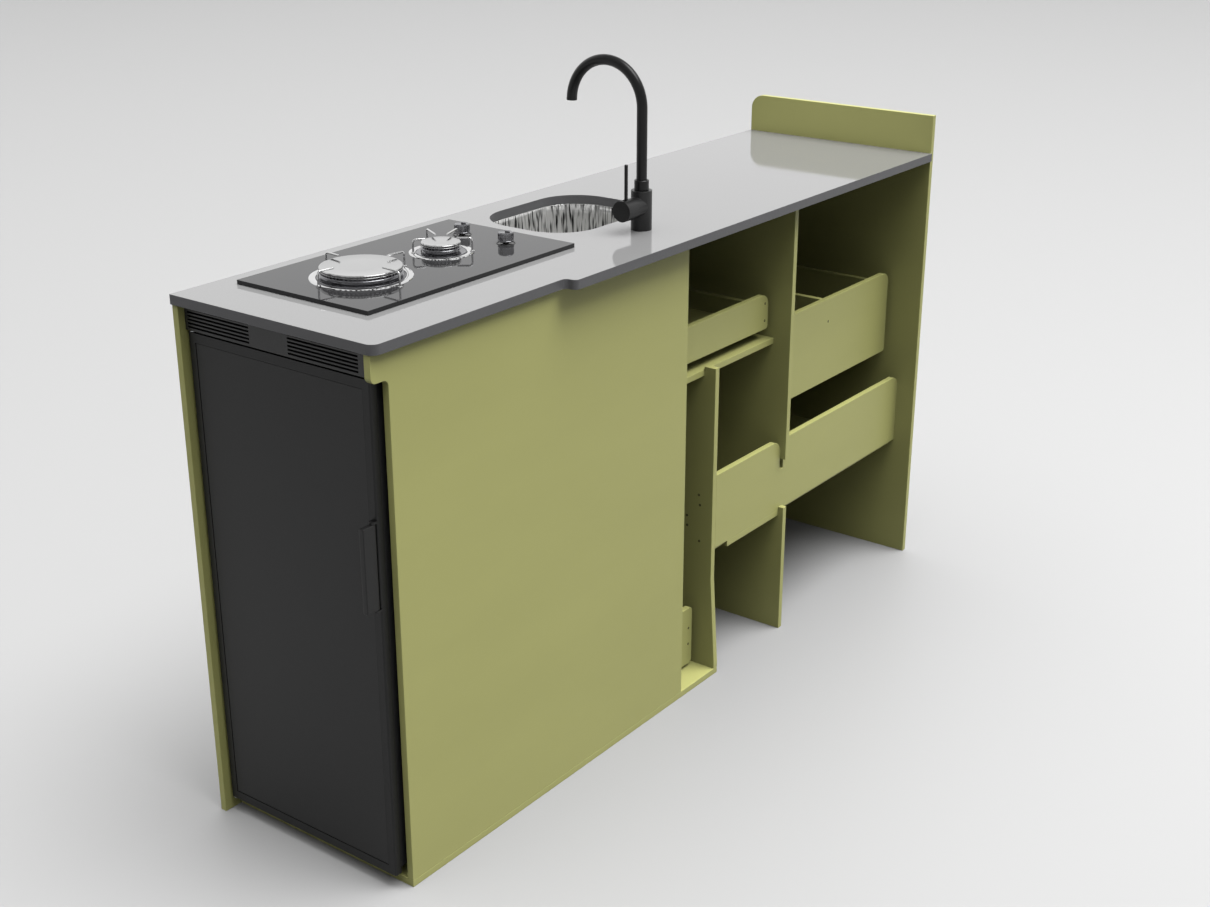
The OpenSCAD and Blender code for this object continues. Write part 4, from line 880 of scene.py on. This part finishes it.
# %% A screw head and the tree that sets it
def screw_head(radius_mm):
    """A countersunk head that stands a hair proud, with a shallow socket."""
    work = bmesh.new()
    sides = 24
    rows = [(radius_mm, 0.0, sides), (radius_mm * 0.94, 0.3, sides), (radius_mm * 0.5, 0.34, sides),
            (radius_mm * 0.42, -0.5, sides), (0, -0.6, 1)]
    loops = []
    for radius, height, count in rows:
        loops.append([work.verts.new((radius * MM * math.cos(2 * math.pi * k / count),
                                      radius * MM * math.sin(2 * math.pi * k / count), height * MM))
                      for k in range(count)])
    for outer, inner in zip(loops, loops[1:]):
        for k in range(sides):
            corners = [outer[k], outer[(k + 1) % sides],
                       inner[(k + 1) % len(inner)], inner[k % len(inner)]]
            work.faces.new(list(dict.fromkeys(corners)))
    under = [work.verts.new((v.co.x * 0.6, v.co.y * 0.6, -1.4 * MM)) for v in loops[0]]
    for k in range(sides):
        work.faces.new((loops[0][(k + 1) % sides], loops[0][k], under[k], under[(k + 1) % sides]))
    work.faces.new(list(reversed(under)))
    bmesh.ops.recalc_face_normals(work, faces=work.faces)
    mesh = bpy.data.meshes.new("screw_head")
    work.to_mesh(mesh)
    work.free()
    return holder_of("screw_head", mesh)


screw_tree, given = new_tree("screws_on_points", {"Head": bpy.types.Object, "Seed": int,
                                                  "Finish": bpy.types.Material})
towards = add(screw_tree, "GeometryNodeInputNamedAttribute", {"Name": "facing"},
              data_type="FLOAT_VECTOR").outputs["Attribute"]
aimed = add(screw_tree, "FunctionNodeAlignRotationToVector", {"Vector": towards}, axis="Z").outputs[0]
chance = add(screw_tree, "FunctionNodeRandomValue", {"Min": 0.0, "Max": 6.28, "Seed": given["Seed"]},
             data_type="FLOAT").outputs["Value"]
twist = add(screw_tree, "ShaderNodeCombineXYZ", {"Z": chance}).outputs[0]
set_turn = add(screw_tree, "FunctionNodeRotateRotation", {"Rotation": aimed, "Rotate By": twist},
               rotation_space="LOCAL").outputs[0]
head_shape = add(screw_tree, "GeometryNodeObjectInfo", {"Object": given["Head"]}).outputs["Geometry"]
set_heads = add(screw_tree, "GeometryNodeInstanceOnPoints", {
    "Points": given["Geometry"], "Instance": head_shape, "Rotation": set_turn}).outputs[0]
end_tree(screw_tree, set_heads, given["Finish"])
black_oxide = finish("black_oxide_on_screw_steel", "#242424", 0.4, tone=(4, 0.1), grain=(0.8, 0.01),
                     metallic=1.0)
heads = {3.2: screw_head(3.2), 2.4: screw_head(2.4)}


def set_screws(name, body, places, radius_mm=3.2, seed=3):
    """Screw heads at (point in mm, direction) places, as one piece on a body."""
    mesh = bpy.data.meshes.new(name)
    mesh.from_pydata([[v * MM for v in point] for point, way in places], [], [])
    facings = mesh.attributes.new("facing", "FLOAT_VECTOR", "POINT")
    for k, (point, way) in enumerate(places):
        facings.data[k].vector = way
    made = grown(screw_tree, {"Head": heads[radius_mm], "Seed": seed, "Finish": black_oxide}, mesh)
    return place(name, made, black_oxide, body)


print(screw_tree.name)

# %% [markdown]
# ## Where the screws go
# The left and the narrow drawer's fronts show two screws near the right edge, and the right drawer's
# front shows one. The intermediate upright carries a loose group of five. The carcass is screwed through
# the rear panel and the end panel into the boards that meet them, in rows of even pitch.

# %% Screws
FRONT, BACK, LEFT, RIGHT = (0, -1, 0), (0, 1, 0), (-1, 0, 0), (1, 0, 0)
from_edge = 12
for drawer in ("left_drawer", "narrow_drawer"):
    low, high = in_mm(drawer + "_front")
    mid = (low[2] + high[2]) / 2
    rise = min(17, (high[2] - low[2]) / 2 - 14)
    set_screws(drawer + "_screws", drawer,
               [((high[0] - from_edge, low[1], mid + way * rise), FRONT) for way in (-1, 1)], 2.4)
low, high = in_mm("right_drawer_front")
set_screws("right_drawer_screws", "right_drawer", [((low[0] + 199, low[1], high[2] - 48), FRONT)], 2.4)


def row(start, end, pitch_mm, facing):
    """Places along a line, about a pitch apart."""
    start, end = Vector(start), Vector(end)
    count = max(1, round((end - start).length / pitch_mm))
    return [(start.lerp(end, k / count), facing) for k in range(count + 1)]


rear_low, rear_high = in_mm("rear_panel")
back_y = rear_high[1]
end_low, end_high = in_mm("end_panel")
rows = []
for name in ("fridge_partition", "bay_partition", "mid_divider"):
    x = middle_of(name)[0]
    board_low, board_high = in_mm(name)
    rows += row((x, back_y, board_low[2] + 30), (x, back_y, board_high[2] - 30), 190, BACK)
base_low, base_high = in_mm("base_board")
rows += row((base_low[0] + 60, back_y, 6), (base_high[0] - 60, back_y, 6), 240, BACK)
for name, pitch in (("upper_shelf", 200), ("lower_shelves", 220)):
    shelf_low, shelf_high = in_mm(name)
    z = (shelf_low[2] + shelf_high[2]) / 2
    rows += row((shelf_low[0] + 40, back_y, z), (shelf_high[0] - 40, back_y, z), pitch, BACK)
set_screws("rear_panel_screws", "carcass", rows)
end_x = end_high[0]
rows = row((end_x, rear_low[1] + 6, 60), (end_x, rear_low[1] + 6, rear_high[2] - 40), 190, RIGHT)
rows += row((end_x, end_low[1] + 40, z), (end_x, rear_low[1] - 40, z), 140, RIGHT)
set_screws("end_panel_screws", "carcass", rows)
upright_low, upright_high = in_mm("intermediate_upright")
front_y = in_mm("front_panel")[0][1]
# Back from the front panel, and up from the floor
pilot_places = [(43, 367), (40, 347), (69, 319), (68, 299), (40, 273)]
set_screws("upright_screws", "carcass",
           [((upright_low[0], front_y + y, z), LEFT) for y, z in pilot_places], 2.4)
for made in heads.values():
    bpy.data.objects.remove(made)
print("rear panel has screws at a pitch of about 200 mm")

# %% [markdown]
# ## Grille slats
# Behind each slot of the fridge's grille stands a slat that slopes down and outwards, as on any vent, so
# that the slots look deep and dark. A tree stacks the slats.

# %% Slats
slat_tree, given = new_tree("stacked_slats", {"Count": int, "Step": tuple, "Slat": tuple, "Start": tuple,
                                              "Tilt": tuple, "Finish": bpy.types.Material})
line = add(slat_tree, "GeometryNodeMeshLine", {"Count": given["Count"], "Start Location": given["Start"],
                                               "Offset": given["Step"]}).outputs[0]
slat = add(slat_tree, "GeometryNodeMeshCube", {"Size": given["Slat"]}).outputs["Mesh"]
stack = add(slat_tree, "GeometryNodeInstanceOnPoints", {"Points": line, "Instance": slat,
                                                        "Rotation": given["Tilt"]}).outputs[0]
end_tree(slat_tree, stack, given["Finish"])
grille_low, grille_high = in_mm("vent_grille")
slat_count = 7
pitch = (grille_high[2] - grille_low[2]) / slat_count
slats = grown(slat_tree, {
    "Count": slat_count, "Step": (0.0, 0.0, pitch * MM),
    "Slat": (9 * MM, (grille_high[1] - grille_low[1] - 6) * MM, 0.8 * MM),
    "Start": Vector((grille_high[0] + 5, middle_of("vent_grille")[1], grille_low[2] + pitch / 2)) * MM,
    "Tilt": (0.0, math.radians(-35), 0.0), "Finish": black_moulding})
place("grille_slats", slats, black_moulding, "carcass")
print(slat_count, "slats,", round(pitch, 1), "mm apart")

# %% The last line
view = bpy.context.scene.view_settings
view.view_transform = "Standard"
